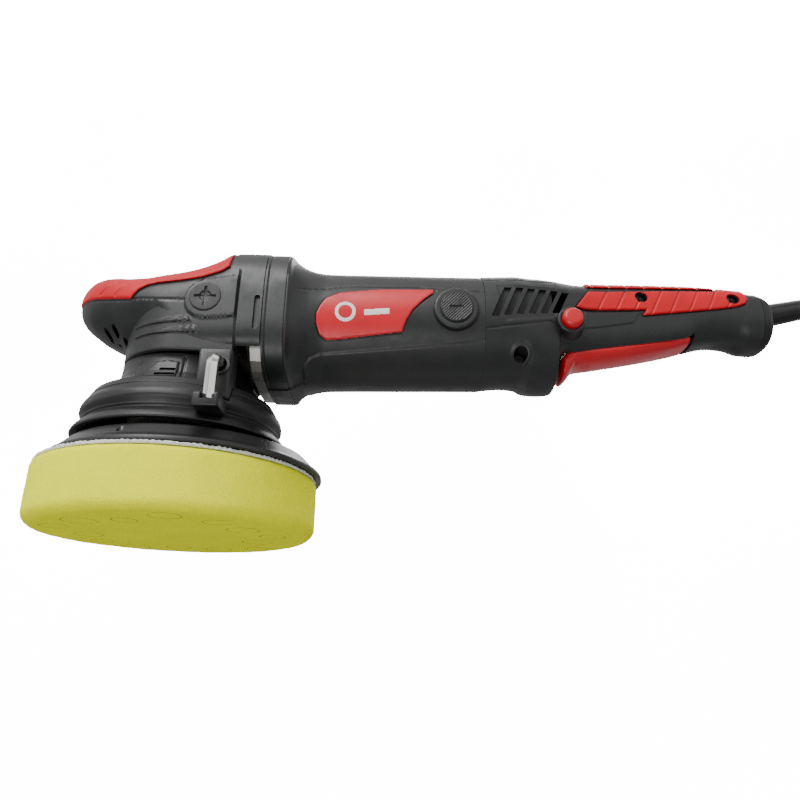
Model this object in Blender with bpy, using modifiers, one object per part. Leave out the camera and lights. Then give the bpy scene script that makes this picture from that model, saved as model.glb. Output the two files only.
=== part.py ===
"""Dual action polisher: foam pad on an eccentric, angle gear head, barrel motor and a switch handle.

Frame: metres, +Z up. The origin is on the gear head's spindle axis, in the working face of the pad.
+X runs back along the motor to the handle, so the machine stands on its pad with the handle level.
Lengths are written in millimetres and turned into metres by MM.
"""
import math
import bmesh
import bpy
from mathutils import Vector

MM = 0.001
GAP = 0.3                      # clearance between touching pieces

# ---- driving dimensions (mm) ----
AXIS_Z = 130.0                 # height of the motor axis over the pad's face
CRANK = 7.5                    # eccentric throw, half of the 15 mm orbit
CRANK_ANGLE = math.radians(75.3)
PAD_X = CRANK * math.cos(CRANK_ANGLE)
PAD_Y = CRANK * math.sin(CRANK_ANGLE)
PAD_R = 81.4
FOAM_X, FOAM_Y = -2.4, 7.1       # the foam is stuck on a little off the middle of its plate
FOAM_H = 32.6
FLANGE_X0, FLANGE_X1 = 48.3, 61.1
REAR_SEAM_X = 179.6
BULGE_END = (224.6, 225.6)      # the switch bulge under the handle steps up here
END_CAP_X0, END_CAP_X1 = 356.3, 363.6
BRUSH_X = 161.8                # brush gear, and the caps over it
PLUG_X, PLUG_Z = 15.0, 131.0 - 1.1
BUTTON_X, BUTTON_Z = 232.0, AXIS_Z - 3.4
KEY_X, KEY_Y, KEY_Z = 28.5, -61.5, 86.0      # long leg's line, and the short leg's height
CLIP_FLOOR_Z = 59.6
NECK_X = -2.5                  # the neck and its boot stand a little forward of the spindle
COVER_Z = 97.0                 # lower edge of the head cover, on the neck
TRIGGER_HINGE = (303.0, AXIS_Z - 3.0)
DIAL_X, DIAL_R = 214.0, 13.0
GEAR_TEETH, PINION_TEETH = 28, 7
CORD_D = 8.0
COIL_X, COIL_Y, COIL_MEAN_R = 541.0, 48.0, 48.0
COIL_WIDE, COIL_HIGH = 3, 4
RELIEF_X, RELIEF_Z = 358.0, 145.2
CORD_EXIT_X, CORD_EXIT_Z = 434.0, 161.5
PLUG_TILT = math.radians(12.4)  # the tapered plug lies on its side with its sleeve down

# ---- scene ----
for item in list(bpy.data.objects):
    bpy.data.objects.remove(item, do_unlink=True)
parts = bpy.data.collections.new("dual_action_polisher")
cutters = bpy.data.collections.new("cutters")
bpy.context.scene.collection.children.link(parts)
bpy.context.scene.collection.children.link(cutters)


def material(name, rgb, roughness, metallic=0.0):
    mat = bpy.data.materials.new(name)
    mat.use_nodes = True
    shader = mat.node_tree.nodes["Principled BSDF"]
    shader.inputs["Base Color"].default_value = (*rgb, 1.0)
    shader.inputs["Roughness"].default_value = roughness
    shader.inputs["Metallic"].default_value = metallic
    return mat


CHARCOAL = material("charcoal_plastic", (0.043, 0.043, 0.045), 0.55)
RUBBER = material("black_rubber", (0.014, 0.014, 0.015), 0.7)
RED = material("red_plastic", (0.58, 0.018, 0.024), 0.45)
FOAM = material("yellow_foam", (0.82, 0.86, 0.09), 0.9)
LOOP = material("white_loop", (0.8, 0.8, 0.76), 0.95)
STEEL = material("steel", (0.5, 0.5, 0.5), 0.3, 1.0)
CHROME = material("chrome", (0.75, 0.75, 0.75), 0.12, 1.0)
CASTING = material("cast_aluminium", (0.32, 0.31, 0.29), 0.5, 1.0)
COPPER = material("copper", (0.7, 0.35, 0.2), 0.35, 1.0)
CARBON = material("carbon", (0.03, 0.03, 0.03), 0.8)
BRASS = material("brass", (0.7, 0.5, 0.2), 0.35, 1.0)
BOARD = material("circuit_board", (0.03, 0.14, 0.06), 0.5)


# ---- tools ----
def add(name, mesh, mat=None, place=(0, 0, 0), turn=(0, 0, 0), cutter=False):
    obj = bpy.data.objects.new(name, mesh)
    obj.location = Vector(place) * MM
    obj.rotation_euler = turn
    (cutters if cutter else parts).objects.link(obj)
    if cutter:
        obj.hide_render = True
        obj.display_type = "WIRE"
    else:
        mesh.materials.append(mat)
        mesh.shade_smooth()
        mesh.set_sharp_from_angle(angle=math.radians(35))
    return obj


def mesh_of(name, bm):
    bmesh.ops.recalc_face_normals(bm, faces=bm.faces)
    mesh = bpy.data.meshes.new(name)
    bm.to_mesh(mesh)
    bm.free()
    return mesh


def turned(name, profile, mat=None, place=(0, 0, 0), along="Z", steps=20, closed=False, cutter=False):
    """A turned piece. profile is (radius, height) in mm, down the outer side; closed makes a ring."""
    bm = bmesh.new()
    points = [bm.verts.new((r * MM, 0, z * MM)) for r, z in profile]
    for a, b in zip(points, points[1:]):
        bm.edges.new((a, b))
    if closed:
        bm.edges.new((points[-1], points[0]))
    mesh = bpy.data.meshes.new(name)
    bm.to_mesh(mesh)
    bm.free()
    turn = {"Z": (0, 0, 0), "X": (0, math.pi / 2, 0), "Y": (-math.pi / 2, 0, 0),
            "-Y": (math.pi / 2, 0, 0)}[along]
    obj = add(name, mesh, mat, place, turn, cutter)
    screw = obj.modifiers.new("Turn", "SCREW")
    screw.steps = screw.render_steps = steps
    screw.use_merge_vertices = True
    screw.merge_threshold = 0.00001
    return obj


def ring(name, r_in, r_out, z0, z1, mat=None, **more):
    return turned(name, [(r_out, z1), (r_out, z0), (r_in, z0), (r_in, z1)], mat, closed=True, **more)


def rod(name, r, z0, z1, mat=None, **more):
    return turned(name, [(0, z1), (r, z1), (r, z0), (0, z0)], mat, **more)


def box(name, low, high, mat=None, cutter=False, bevel=0.0):
    bm = bmesh.new()
    bmesh.ops.create_cube(bm, size=1.0)
    size = [(h - l) * MM for l, h in zip(low, high)]
    bmesh.ops.scale(bm, vec=size, verts=bm.verts)
    obj = add(name, mesh_of(name, bm), mat, [(l + h) / 2 for l, h in zip(low, high)], cutter=cutter)
    if bevel:
        edge = obj.modifiers.new("Bevel", "BEVEL")
        edge.width = bevel * MM
        edge.segments = 2
    return obj


def prism(name, outline, y0, y1, mat=None, cutter=True):
    """A flat outline of (x, z) points, drawn out along Y from y0 to y1."""
    bm = bmesh.new()
    face = bm.faces.new([bm.verts.new((x * MM, y0 * MM, z * MM)) for x, z in outline])
    made = bmesh.ops.extrude_face_region(bm, geom=[face])["geom"]
    moved = [v for v in made if isinstance(v, bmesh.types.BMVert)]
    bmesh.ops.translate(bm, vec=(0, (y1 - y0) * MM, 0), verts=moved)
    return add(name, mesh_of(name, bm), mat, cutter=cutter)


def slab(name, outline, z0, z1, mat=None, cutter=True):
    """A flat outline of (x, y) points, drawn up from z0 to z1."""
    bm = bmesh.new()
    face = bm.faces.new([bm.verts.new((x * MM, y * MM, z0 * MM)) for x, y in outline])
    made = bmesh.ops.extrude_face_region(bm, geom=[face])["geom"]
    moved = [v for v in made if isinstance(v, bmesh.types.BMVert)]
    bmesh.ops.translate(bm, vec=(0, 0, (z1 - z0) * MM), verts=moved)
    return add(name, mesh_of(name, bm), mat, cutter=cutter)


def boolean(obj, other, how="DIFFERENCE", solver="EXACT"):
    step = obj.modifiers.new("Boolean", "BOOLEAN")
    step.operation = how
    step.object = other
    step.solver = solver
    return obj


def settle(obj):
    """Turn an object's modifiers into its mesh, so that it can be cut further or cut others."""
    bpy.context.view_layer.update()
    graph = bpy.context.evaluated_depsgraph_get()
    mesh = bpy.data.meshes.new_from_object(obj.evaluated_get(graph))
    bm = bmesh.new()
    bm.from_mesh(mesh)
    bmesh.ops.remove_doubles(bm, verts=bm.verts, dist=0.002 * MM)
    bmesh.ops.dissolve_degenerate(bm, edges=bm.edges, dist=0.002 * MM)
    bm.to_mesh(mesh)
    bm.free()
    obj.modifiers.clear()
    obj.data = mesh
    return obj


def section(station, count):
    """A rounded-box section: half width, top, bottom and the height of its widest point."""
    x, half, top, bottom, middle, n_top, n_bottom = station
    points = []
    for k in range(count):
        angle = 2 * math.pi * k / count
        c, s = math.cos(angle), math.sin(angle)
        n = n_top if s >= 0 else n_bottom
        y = math.copysign(abs(c) ** (2 / n), c) * half
        z = math.copysign(abs(s) ** (2 / n), s) * (top - middle if s >= 0 else middle - bottom) + middle
        points.append((x, y, z + AXIS_Z))
    return points


def grown(stations, by, ends=(0.0, 0.0)):
    """The same stations with every section offset outwards by a distance, and its ends moved along X."""
    out = []
    for i, (x, half, top, bottom, middle, n_top, n_bottom) in enumerate(stations):
        dx = ends[0] if i == 0 else ends[1] if i == len(stations) - 1 else 0.0
        out.append((x + dx, max(half + by, 0.4), top + by, bottom - by, middle, n_top, n_bottom))
    return out


def loft(name, stations, mat=None, count=24, caps=True, cutter=False):
    bm = bmesh.new()
    rings = [[bm.verts.new(Vector(p) * MM) for p in section(s, count)] for s in stations]
    for a, b in zip(rings, rings[1:]):
        for k in range(count):
            bm.faces.new((a[k], a[(k + 1) % count], b[(k + 1) % count], b[k]))
    if caps:
        bm.faces.new(rings[0])
        bm.faces.new(rings[-1])
    return add(name, mesh_of(name, bm), mat, cutter=cutter)


def shell(name, stations, wall, mat, ends, posts=(), count=24, step=None):
    """A lofted shell: the outer form less the same form inset by the wall, which leaves any posts standing.
    Where the form steps in over the X range step, the hollow steps in sooner, which leaves a wall there too."""
    outer = loft(name, stations, mat, count)
    low, high = step or (0, 0)
    hollow = [(s[0] - wall * (low <= s[0] <= high), *s[1:]) for s in stations]
    inner = loft(name + "_hollow", grown(hollow, -wall, ends), count=count, cutter=True)
    for post in posts:
        boolean(inner, post)
    return settle(boolean(outer, inner))


def skin(name, stations, outline, lift, thick, side, mat, count=24):
    """A thin piece that lies on a lofted surface inside an outline: a label or a soft grip."""
    outer = loft(name, grown(stations, lift + thick), mat, count)
    inner = loft(name + "_under", grown(stations, lift, (-1.0, 1.0)), count=count, cutter=True)
    region = prism(name + "_region", outline, 2.0 * side, 70.0 * side)
    boolean(outer, inner)
    return settle(boolean(outer, region, "INTERSECT"))


def arc(cx, cz, r, start, end, steps):
    """Points on an arc, angles in degrees."""
    step = (end - start) / steps
    return [(cx + r * math.cos(math.radians(start + step * k)),
             cz + r * math.sin(math.radians(start + step * k)))
            for k in range(steps + 1)]


# ---- outer forms: (x, half width, top, bottom, widest height, roundness above, roundness below) ----
HEAD = [
    (-73.0, 6, 12, 3, 7.5, 2.0, 2.0), (-72.2, 11, 16, 0, 7.8, 2.1, 2.1),
    (-70.2, 16, 19.5, -2.5, 8, 2.2, 2.2), (-66, 21.5, 23, -5.8, 8, 2.3, 2.2),
    (-60, 27, 25, -10, 8, 2.4, 2.2), (-52, 31.5, 25.6, -14.2, 7, 2.5, 2.1),
    (-44, 34.5, 25, -18.4, 5.5, 2.5, 1.9), (-37, 37, 24.3, -24, 3, 2.5, 1.7),
    (-28, 40, 24.2, -27, 0.5, 2.5, 1.45), (-15, 42.8, 25.8, -28.5, -1.5, 2.6, 1.4),
    (-3, 43.9, 27.8, -30, -2, 2.7, 4.0), (2, 44.1, 28.8, -33, -2, 2.8, 6.0),
    (12, 44.5, 32.6, -33, -2, 2.9, 6.0), (19, 44.7, 36.2, -33, -2, 3.0, 6.0),
    (25, 44.9, 40.4, -33, -2, 3.1, 6.0), (30, 45, 42.3, -33, -2, 3.3, 6.0),
    (48, 45, 42.3, -33, -2, 3.3, 6.0),
]
BARREL = [
    (FLANGE_X0, 44.5, 42.2, -43, -2, 3.3, 3.5), (FLANGE_X1, 44.5, 42.0, -43, -2, 3.3, 3.5),
    (64.5, 42.0, 40.2, -41.4, -1, 2.8, 2.9), (69, 39.8, 38.6, -39.8, 0, 2.4, 2.5),
    (75, 38.2, 37.6, -38.8, 0, 2.15, 2.2), (84, 37.3, 37.2, -38.2, 0, 2.0, 2.0),
    (130, 36.9, 37.0, -37.3, 0, 2.0, 2.0), (REAR_SEAM_X - GAP, 36.6, 36.9, -36.5, 0, 2.0, 2.0),
]
REAR = [
    (REAR_SEAM_X, 36.6, 36.9, -36.5, 0, 2.0, 2.0), (194, 35.8, 37.0, -35, 1, 2.1, 2.1),
    (202, 34.6, 36.8, -35.4, 2, 2.2, 2.3), (208, 33.2, 36.4, -38, 2, 2.2, 2.5),
    (218, 30.6, 35.6, -38.8, 4, 2.3, 2.6), (224.6, 28.6, 35.0, -38.2, 6, 2.3, 2.6),
    (225.6, 28.2, 34.9, -26, 7, 2.3, 3.0), (232, 24.8, 34.2, -19, 11, 2.3, 4.0),
    (240, 21.6, 33.6, -18.6, 13, 2.3, 4.0), (252, 19.4, 33.4, -17.4, 14, 2.3, 4.0),
    (270, 18.5, 33.7, -15.3, 14, 2.3, 4.0), (290, 18, 33.8, -12.6, 14, 2.3, 4.0),
    (307, 17.7, 33.6, -10.1, 14, 2.3, 3.8), (315, 17.6, 33.4, -7.8, 14, 2.3, 2.8),
    (330, 17.6, 32.4, -5.4, 13.5, 2.3, 2.4), (341, 18, 31.2, -6.6, 13, 2.3, 2.4),
    (348.5, 19, 30, -9.2, 12, 2.3, 2.4), (END_CAP_X0 - GAP, 19.6, 28.8, -9.8, 11, 2.3, 2.4),
]
HANDLE_SCREWS = [(200.9, -25.0, 4.2, 16.0), (280.5, 19.6, 4.0, 12.5),
                 (338.9, 19.8, 4.0, 12.5)]   # x, z, well, depth
END_CAP = [
    (END_CAP_X0, 19.6, 28.6, -9.8, 11, 2.3, 2.4), (359.5, 19.4, 27.2, -9.4, 10, 2.3, 2.4),
    (362.0, 18.4, 25.4, -7.8, 9.5, 2.3, 2.4), (END_CAP_X1, 15.5, 22.5, -4.5, 9.5, 2.3, 2.4),
]
TRIGGER = [
    (229.2, 11.0, -19.5, -31.6, -25, 3, 3), (230.4, 12.6, -17.5, -32.8, -25, 4, 2.6),
    (234, 13.6, -14, -29.8, -21, 5, 2.4), (238, 14, -11, -24.6, -17, 6, 2.3),
    (250, 14, -9.5, -22.2, -15, 6, 2.3), (270, 14, -7.5, -18.4, -12, 6, 2.3),
    (290, 13.8, -5, -14.2, -8.5, 6, 2.3), (304, 13.4, -2, -10.6, -6, 5, 2.4),
    (311, 12, -3.5, -8.4, -5.5, 4, 2.4),
]


# ---- pad and its plate, on the eccentric axis ----
def pad_parts():
    at = (PAD_X, PAD_Y, 0)
    foam_at = (FOAM_X, FOAM_Y, 0)
    edge = 5.7
    low = [(PAD_R - edge + edge * math.cos(math.radians(a)), edge + edge * math.sin(math.radians(a)))
           for a in range(0, -91, -30)]
    turned("foam_pad", [(0, FOAM_H), (PAD_R - 0.3, FOAM_H)] + low + [(0, 0)], FOAM, foam_at, steps=36)
    rod("pad_loop_layer", PAD_R - 0.6, FOAM_H + GAP, FOAM_H + 1.9, LOOP, place=foam_at, steps=36)
    z = FOAM_H + 1.9 + GAP
    plate = [(20, 50.0), (60, 49.0), (64, 48.4), (70.0, 46.4), (76.8, 39.4), (79.8, 37.4), (80.1, z + 0.5),
             (79.6, z), (9.5, z), (9.5, z + 6), (4.4, z + 6), (4.4, 50.0)]
    turned("backing_plate", plate, RUBBER, at, steps=28, closed=True)
    for k in range(6):
        a = math.radians(18 + 60 * k)
        rod("plate_hole_%d" % k, 2.0, -4, 8, cutter=True, steps=8,
            place=(PAD_X + 73.8 * math.cos(a), PAD_Y + 73.8 * math.sin(a), 43.0))
        boolean(bpy.data.objects["backing_plate"], bpy.data.objects["plate_hole_%d" % k])
    turned("plate_bolt", [(0, 66), (4.0, 66), (4.0, z + 6 - GAP), (8.6, z + 6 - GAP), (8.6, z + 0.8),
                          (0, z + 0.8)],
           STEEL, at)
    turned("pad_spindle", [(0, 86), (8, 86), (8, 54.4), (13, 54.4), (13, 50.3), (4.3, 50.3), (4.3, 68),
                           (0, 68)],
           STEEL, at)


# ---- crank, counterweight and gears, on the spindle axis ----
def drive_parts():
    at = (PAD_X, PAD_Y, 0)
    ring("pad_bearing_lower", 8.3, 15, 56.5, 65.5, STEEL, place=at)
    ring("pad_bearing_upper", 8.3, 15, 72, 81, STEEL, place=at)
    carrier = rod("eccentric_carrier", 26, 83, 89, CASTING)
    boss = rod("carrier_boss", 19.5, 56, 86, place=at, cutter=True)
    bore = rod("carrier_bore", 15.3, 50, 82.5, place=at, cutter=True, steps=30)
    well = rod("carrier_well", 8.6, 80, 86.6, place=at, cutter=True, steps=28)
    boolean(boolean(boolean(carrier, boss, "UNION"), bore), well)
    outer, inner = 35.0, 21.5
    back = math.degrees(CRANK_ANGLE) + 180
    outline = arc(0, 0, outer, back - 68, back + 68, 14) + arc(0, 0, inner, back + 68, back - 68, 14)
    slab("counterweight", outline, 60, 82.6, CASTING, cutter=False)
    turned("main_spindle", [(0, 144.7), (7, 144.7), (7, 104.6), (8.5, 104.6), (8.5, 93.4), (12, 93.4),
                            (12, 89.3), (0, 89.3)], STEEL)
    ring("spindle_bearing_lower", 8.8, 17.5, 94.5, 104.0, STEEL)
    ring("spindle_bearing_upper", 7.3, 13, 136.8, 144.6, STEEL)
    crown_gear()


def crown_gear():
    """A face gear: a disc whose teeth stand up between two radii."""
    root, tip, inner, outer = 123.4, 125.9, 18.0, 22.0
    root_half, tip_half = 0.20, 0.07          # tooth half width as a part of the pitch
    base, bore = 107.0, 7.3
    pitch = 2 * math.pi / GEAR_TEETH
    stations = [((k + f) * pitch, up) for k in range(GEAR_TEETH)
                for f, up in ((0.5 - root_half, 0), (0.5 - tip_half, 1), (0.5 + tip_half, 1),
                              (0.5 + root_half, 0))]
    bm = bmesh.new()
    rows = []
    for angle, up in stations:
        c, s = math.cos(angle) * MM, math.sin(angle) * MM
        high = tip if up else root
        rows.append([bm.verts.new((r * c, r * s, z * MM)) for r, z in
                     ((bore, base), (outer, base), (outer, high), (inner, high), (bore, root))])
    for i, a in enumerate(rows):
        b = rows[(i + 1) % len(rows)]
        for k in range(len(a)):
            j = (k + 1) % len(a)
            bm.faces.new((a[k], b[k], b[j], a[j]))
    add("crown_gear", mesh_of("crown_gear", bm), STEEL)


# ---- rotor, on the motor axis ----
def rotor_parts():
    at = (0, 0, AXIS_Z)
    pinion()
    turned("motor_shaft", [(0, 196), (4, 196), (4, 38), (2.5, 38), (2.5, 18.5), (0, 18.5)], STEEL, at, "X")
    ring("motor_bearing_front", 4.3, 13, 39, 47.5, STEEL, place=at, along="X")
    ring("motor_bearing_rear", 4.3, 11, 186, 194, STEEL, place=at, along="X")
    turned("fan", [(9, 80), (28, 79), (29.5, 74), (29.5, 71), (4.3, 71), (4.3, 80)], CHARCOAL, at, "X",
           closed=True)
    ring("armature_core", 4.3, 20, 94, 146, STEEL, place=at, along="X")
    ring("commutator", 4.3, 13, 152, 174, COPPER, place=at, along="X")
    ring("stator", 20.8, 31.5, 92, 148, STEEL, place=at, along="X")


def pinion():
    """A straight pinion whose lowest tooth stands in a gap of the crown gear."""
    tip, root, bore = 6.2, 3.9, 2.8
    pitch = 2 * math.pi / PINION_TEETH
    outline = []
    for k in range(PINION_TEETH):
        middle = -math.pi / 2 + k * pitch
        for f, r in ((-0.26, root), (-0.06, tip), (0.06, tip), (0.26, root)):
            outline.append((math.cos(middle + f * pitch) * r, math.sin(middle + f * pitch) * r))
    bm = bmesh.new()
    ends = []
    for x in (17.8, 22.2):
        outer = [bm.verts.new((x * MM, y * MM, (z + AXIS_Z) * MM)) for y, z in outline]
        scale = bore / root
        inner = [bm.verts.new((x * MM, y * scale * root / math.hypot(y, z) * MM,
                               (z * scale * root / math.hypot(y, z) + AXIS_Z) * MM)) for y, z in outline]
        ends.append((outer, inner))
    count = len(outline)
    for k in range(count):
        j = (k + 1) % count
        for outer, inner in ends:
            bm.faces.new((outer[k], outer[j], inner[j], inner[k]))
        (outer_a, inner_a), (outer_b, inner_b) = ends
        bm.faces.new((outer_a[k], outer_a[j], outer_b[j], outer_b[k]))
        bm.faces.new((inner_a[k], inner_a[j], inner_b[j], inner_b[k]))
    add("pinion", mesh_of("pinion", bm), STEEL)


# ---- gear head ----
def round_front(inset):
    """The cover's lower part seen from above: a half ellipse round the spindle, then straight back."""
    long, half, back = 41.0 - inset, 44.2 - inset, 33.0
    turn = [math.radians(90 + 7.5 * k) for k in range(25)]
    return [(back, half + 0.5)] + [(long * math.cos(a),
                                    half * math.sin(a)) for a in turn] + [(back, -half - 0.5)]


def head_parts():
    casting = turned("gearbox_housing", [(0, 150), (17, 150), (28, 143), (34, 135), (34.6, 112), (36.6, 108),
                                         (36.6, 101), (24, 101), (24, 93.5), (0, 93.5)], CASTING, steps=28)
    flange = loft("casting_flange", [(36, 32, 28, -28, 0, 2.5, 2.5), (41.5, 40.4, 36.3, -30, -2, 3.3, 3.0),
                                     (41.6, 40.4, 36.3, -42.4, -2, 3.3, 3.4),
                                     (47.9, 40.4, 36.3, -42.6, -2, 3.3, 3.4)], count=24, cutter=True)
    boolean(casting, flange, "UNION")
    tunnel = rod("casting_tunnel", 13.3, 16, 50, place=(0, 0, AXIS_Z), along="X", cutter=True, steps=32)
    hollow = turned("casting_hollow", [(0, 145.5), (13.3, 145.5), (13.3, 137.5), (26.5, 130), (26.5, 106.6),
                                       (17.8, 106.6), (17.8, 90), (0, 90)], cutter=True)
    boolean(boolean(casting, tunnel), hollow)

    at = (NECK_X, 0, 0)
    neck = turned("neck_housing", [(39.2, 96.6), (39.2, 94), (39.6, 90), (40.6, 85), (42.8, 80.5), (48, 77),
                                   (51.3, 75.2), (51.3, 73), (45, 73), (42, 77.5), (40.5, 80), (38.4, 84),
                                   (37.4, 90), (37, 96.6)],
                  CHARCOAL, at, steps=24, closed=True)
    bracket = box("neck_bracket", (16, -48, 66), (34.8, -33, 96.4), cutter=True)
    socket = rod("key_socket", 4.2, 36.2, 60, place=(KEY_X, 0, KEY_Z), along="-Y", cutter=True, steps=16)
    neck_inside = turned("neck_inside", [(0, 110), (37, 110), (37, 96.6), (37.4, 90), (38.4, 84), (40.5, 80),
                                         (42, 77.5), (45, 72.8), (50, 60), (0, 60)], place=at, cutter=True,
                         steps=24)
    boolean(boolean(boolean(neck, bracket, "UNION"), neck_inside), socket)
    boolean(neck, box("flange_room", (41.0, -50, 85.5), (60, 50, 110), cutter=True))
    slots = [box("neck_slot_%d" % k, (-12 + k * 2.4, -60, 78.2 + 3.4 * k), (2.2, -34, 79.8 + 3.4 * k),
                 cutter=True)
             for k in range(3)]
    for slot in slots:
        boolean(neck, slot)

    skirt = [(51.7, 77), (53.1, 76.8), (58.4, 68), (59, 64), (56.2, 58.6), (60.8, 54.6), (62.4, 51.6),
             (62, 50.6), (59.4, 50.6), (53.2, 58.6), (55.2, 64), (54.4, 67.6), (51.7, 72.6)]
    turned("skirt_boot", skirt, RUBBER, at, steps=28, closed=True)
    boolean(bpy.data.objects["skirt_boot"],
            box("bracket_room", (15.6, -48.4, 65.6), (35.2, -33, 97.8), cutter=True))

    wall = 3.0
    cover = loft("head_cover", HEAD, CHARCOAL)
    boolean(cover, slab("head_round", round_front(0), COVER_Z, AXIS_Z - 2.6), "UNION")
    hollow = loft("head_cover_hollow", grown(HEAD, -wall, (wall, 2.0)), cutter=True)
    boolean(hollow, slab("head_round_hollow", round_front(wall), COVER_Z - 5, AXIS_Z - 2.6 - wall), "UNION")
    settle(boolean(cover, hollow))
    boolean(cover, box("flange_opening", (34.0, -40.8, 60), (49, 40.8, 106), cutter=True))
    for side in (-1, 1):
        hole = rod("plug_hole_%d" % side, 7.5, 30, 60, place=(PLUG_X, 0, PLUG_Z), cutter=True, steps=24,
                   along="Y" if side > 0 else "-Y")
        boolean(cover, hole)
        for k in range(4):
            x, z = -50.4 + 6.5 * (k % 2) + 6.4 * (k // 2), AXIS_Z - 12 - 6.7 * (k // 2)
            slot = box("nose_slot_%d_%d" % (side, k), (x - 1.2, min(side * 9, side * 40), z - 2.4),
                       (x + 1.2, max(side * 9, side * 40), z + 2.4), cutter=True)
            slot.rotation_euler = (0, math.radians(-25), 0)
            boolean(cover, slot)
        name = "side_plug_" + ("left" if side < 0 else "right")
        face = 46.6
        turned(name, [(0, face), (9.3, face), (9.3, face - 1.6), (7.2, face - 1.6), (7.2, 37.2), (0, 37.2)],
               RUBBER, (PLUG_X, 0, PLUG_Z), "Y" if side > 0 else "-Y", 32)
        plug = bpy.data.objects[name]
        y0, y1 = sorted((side * (face - 1.0), side * (face + 2)))
        boolean(plug, box(name + "_slot_a", (PLUG_X - 6, y0, PLUG_Z - 0.8), (PLUG_X + 6, y1, PLUG_Z + 0.8),
                          cutter=True))
        boolean(plug, box(name + "_slot_b", (PLUG_X - 0.8, y0, PLUG_Z - 6), (PLUG_X + 0.8, y1, PLUG_Z + 6),
                          cutter=True))
    nose_grip()


def nose_grip():
    """The red soft insert over the nose and up towards the flange."""
    edge = [(-82, 7.5), (-62, 6.3), (-50, 4.1), (-30.5, 0.9), (-29.5, 3), (-26.5, 7), (-22, 9.8),
            (-16, 11.3), (-2, 12.6), (11, 14.6), (22, 18.6), (26.5, 22), (26.5, 60), (-82, 60)]
    outline = [(x, AXIS_Z + height) for x, height in edge]
    grip = loft("head_grip", grown(HEAD, 1.5, (-1.5, 0)), RED)
    boolean(grip, loft("head_grip_under", grown(HEAD, GAP, (-GAP, 2)), cutter=True))
    settle(boolean(grip, prism("head_grip_region", outline, -70, 70), "INTERSECT"))


def hex_key():
    """A 6 mm hex bar bent at a right angle: its short leg in the neck's socket, its long leg down."""
    across, bend = 6.0, 6.5
    x, y, z = KEY_X, KEY_Y, KEY_Z
    start, end = -36.6, CLIP_FLOOR_Z + GAP
    path = [(0, start, z)]
    path += [(0, y + bend - bend * math.sin(math.radians(a)), z - bend + bend * math.cos(math.radians(a)))
             for a in range(0, 91, 18)]
    path += [(0, y, end)]
    bm = bmesh.new()
    rings = []
    for i, (_, py, pz) in enumerate(path):
        before, after = path[max(i - 1, 0)], path[min(i + 1, len(path) - 1)]
        ty, tz = after[1] - before[1], after[2] - before[2]
        size = math.hypot(ty, tz)
        ny, nz = -tz / size, ty / size
        loop = []
        for k in range(6):
            a = math.radians(60 * k + 30)
            u, v = math.cos(a) * across / math.sqrt(3), math.sin(a) * across / math.sqrt(3)
            loop.append(bm.verts.new(((x + u) * MM, (py + v * ny) * MM, (pz + v * nz) * MM)))
        rings.append(loop)
    for a, b in zip(rings, rings[1:]):
        for k in range(6):
            bm.faces.new((a[k], a[(k + 1) % 6], b[(k + 1) % 6], b[k]))
    bm.faces.new(rings[0])
    bm.faces.new(rings[-1])
    add("hex_key", mesh_of("hex_key", bm), CHROME)
    clip = box("key_clip", (20.6, -66.0, 55.4), (34.8, -48.0, 63.6), RUBBER)
    boolean(clip, box("clip_room", (KEY_X - 3.9, -70, CLIP_FLOOR_Z), (KEY_X + 3.9, KEY_Y + 3.8, 70),
                      cutter=True))
    boolean(clip, turned("clip_seat", [(0, 80), (53.7, 76.8), (58.8, 68), (59.4, 64), (56.6, 58.6),
                                       (61.2, 54.6), (61.2, 40), (0, 40)], place=(NECK_X, 0, 0),
                         cutter=True, steps=28))


# ---- motor housing ----
def label_outline():
    z = AXIS_Z
    boss = arc(BRUSH_X, z - 0.4, 15.2, 140, 212, 6)
    return [(89, z + 9.4), (120, z + 11.2)] + boss + [(132, z - 17), (92, z - 23), (82.5, z - 21),
                                                      (78.8, z - 11), (81.5, z + 1)]


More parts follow.
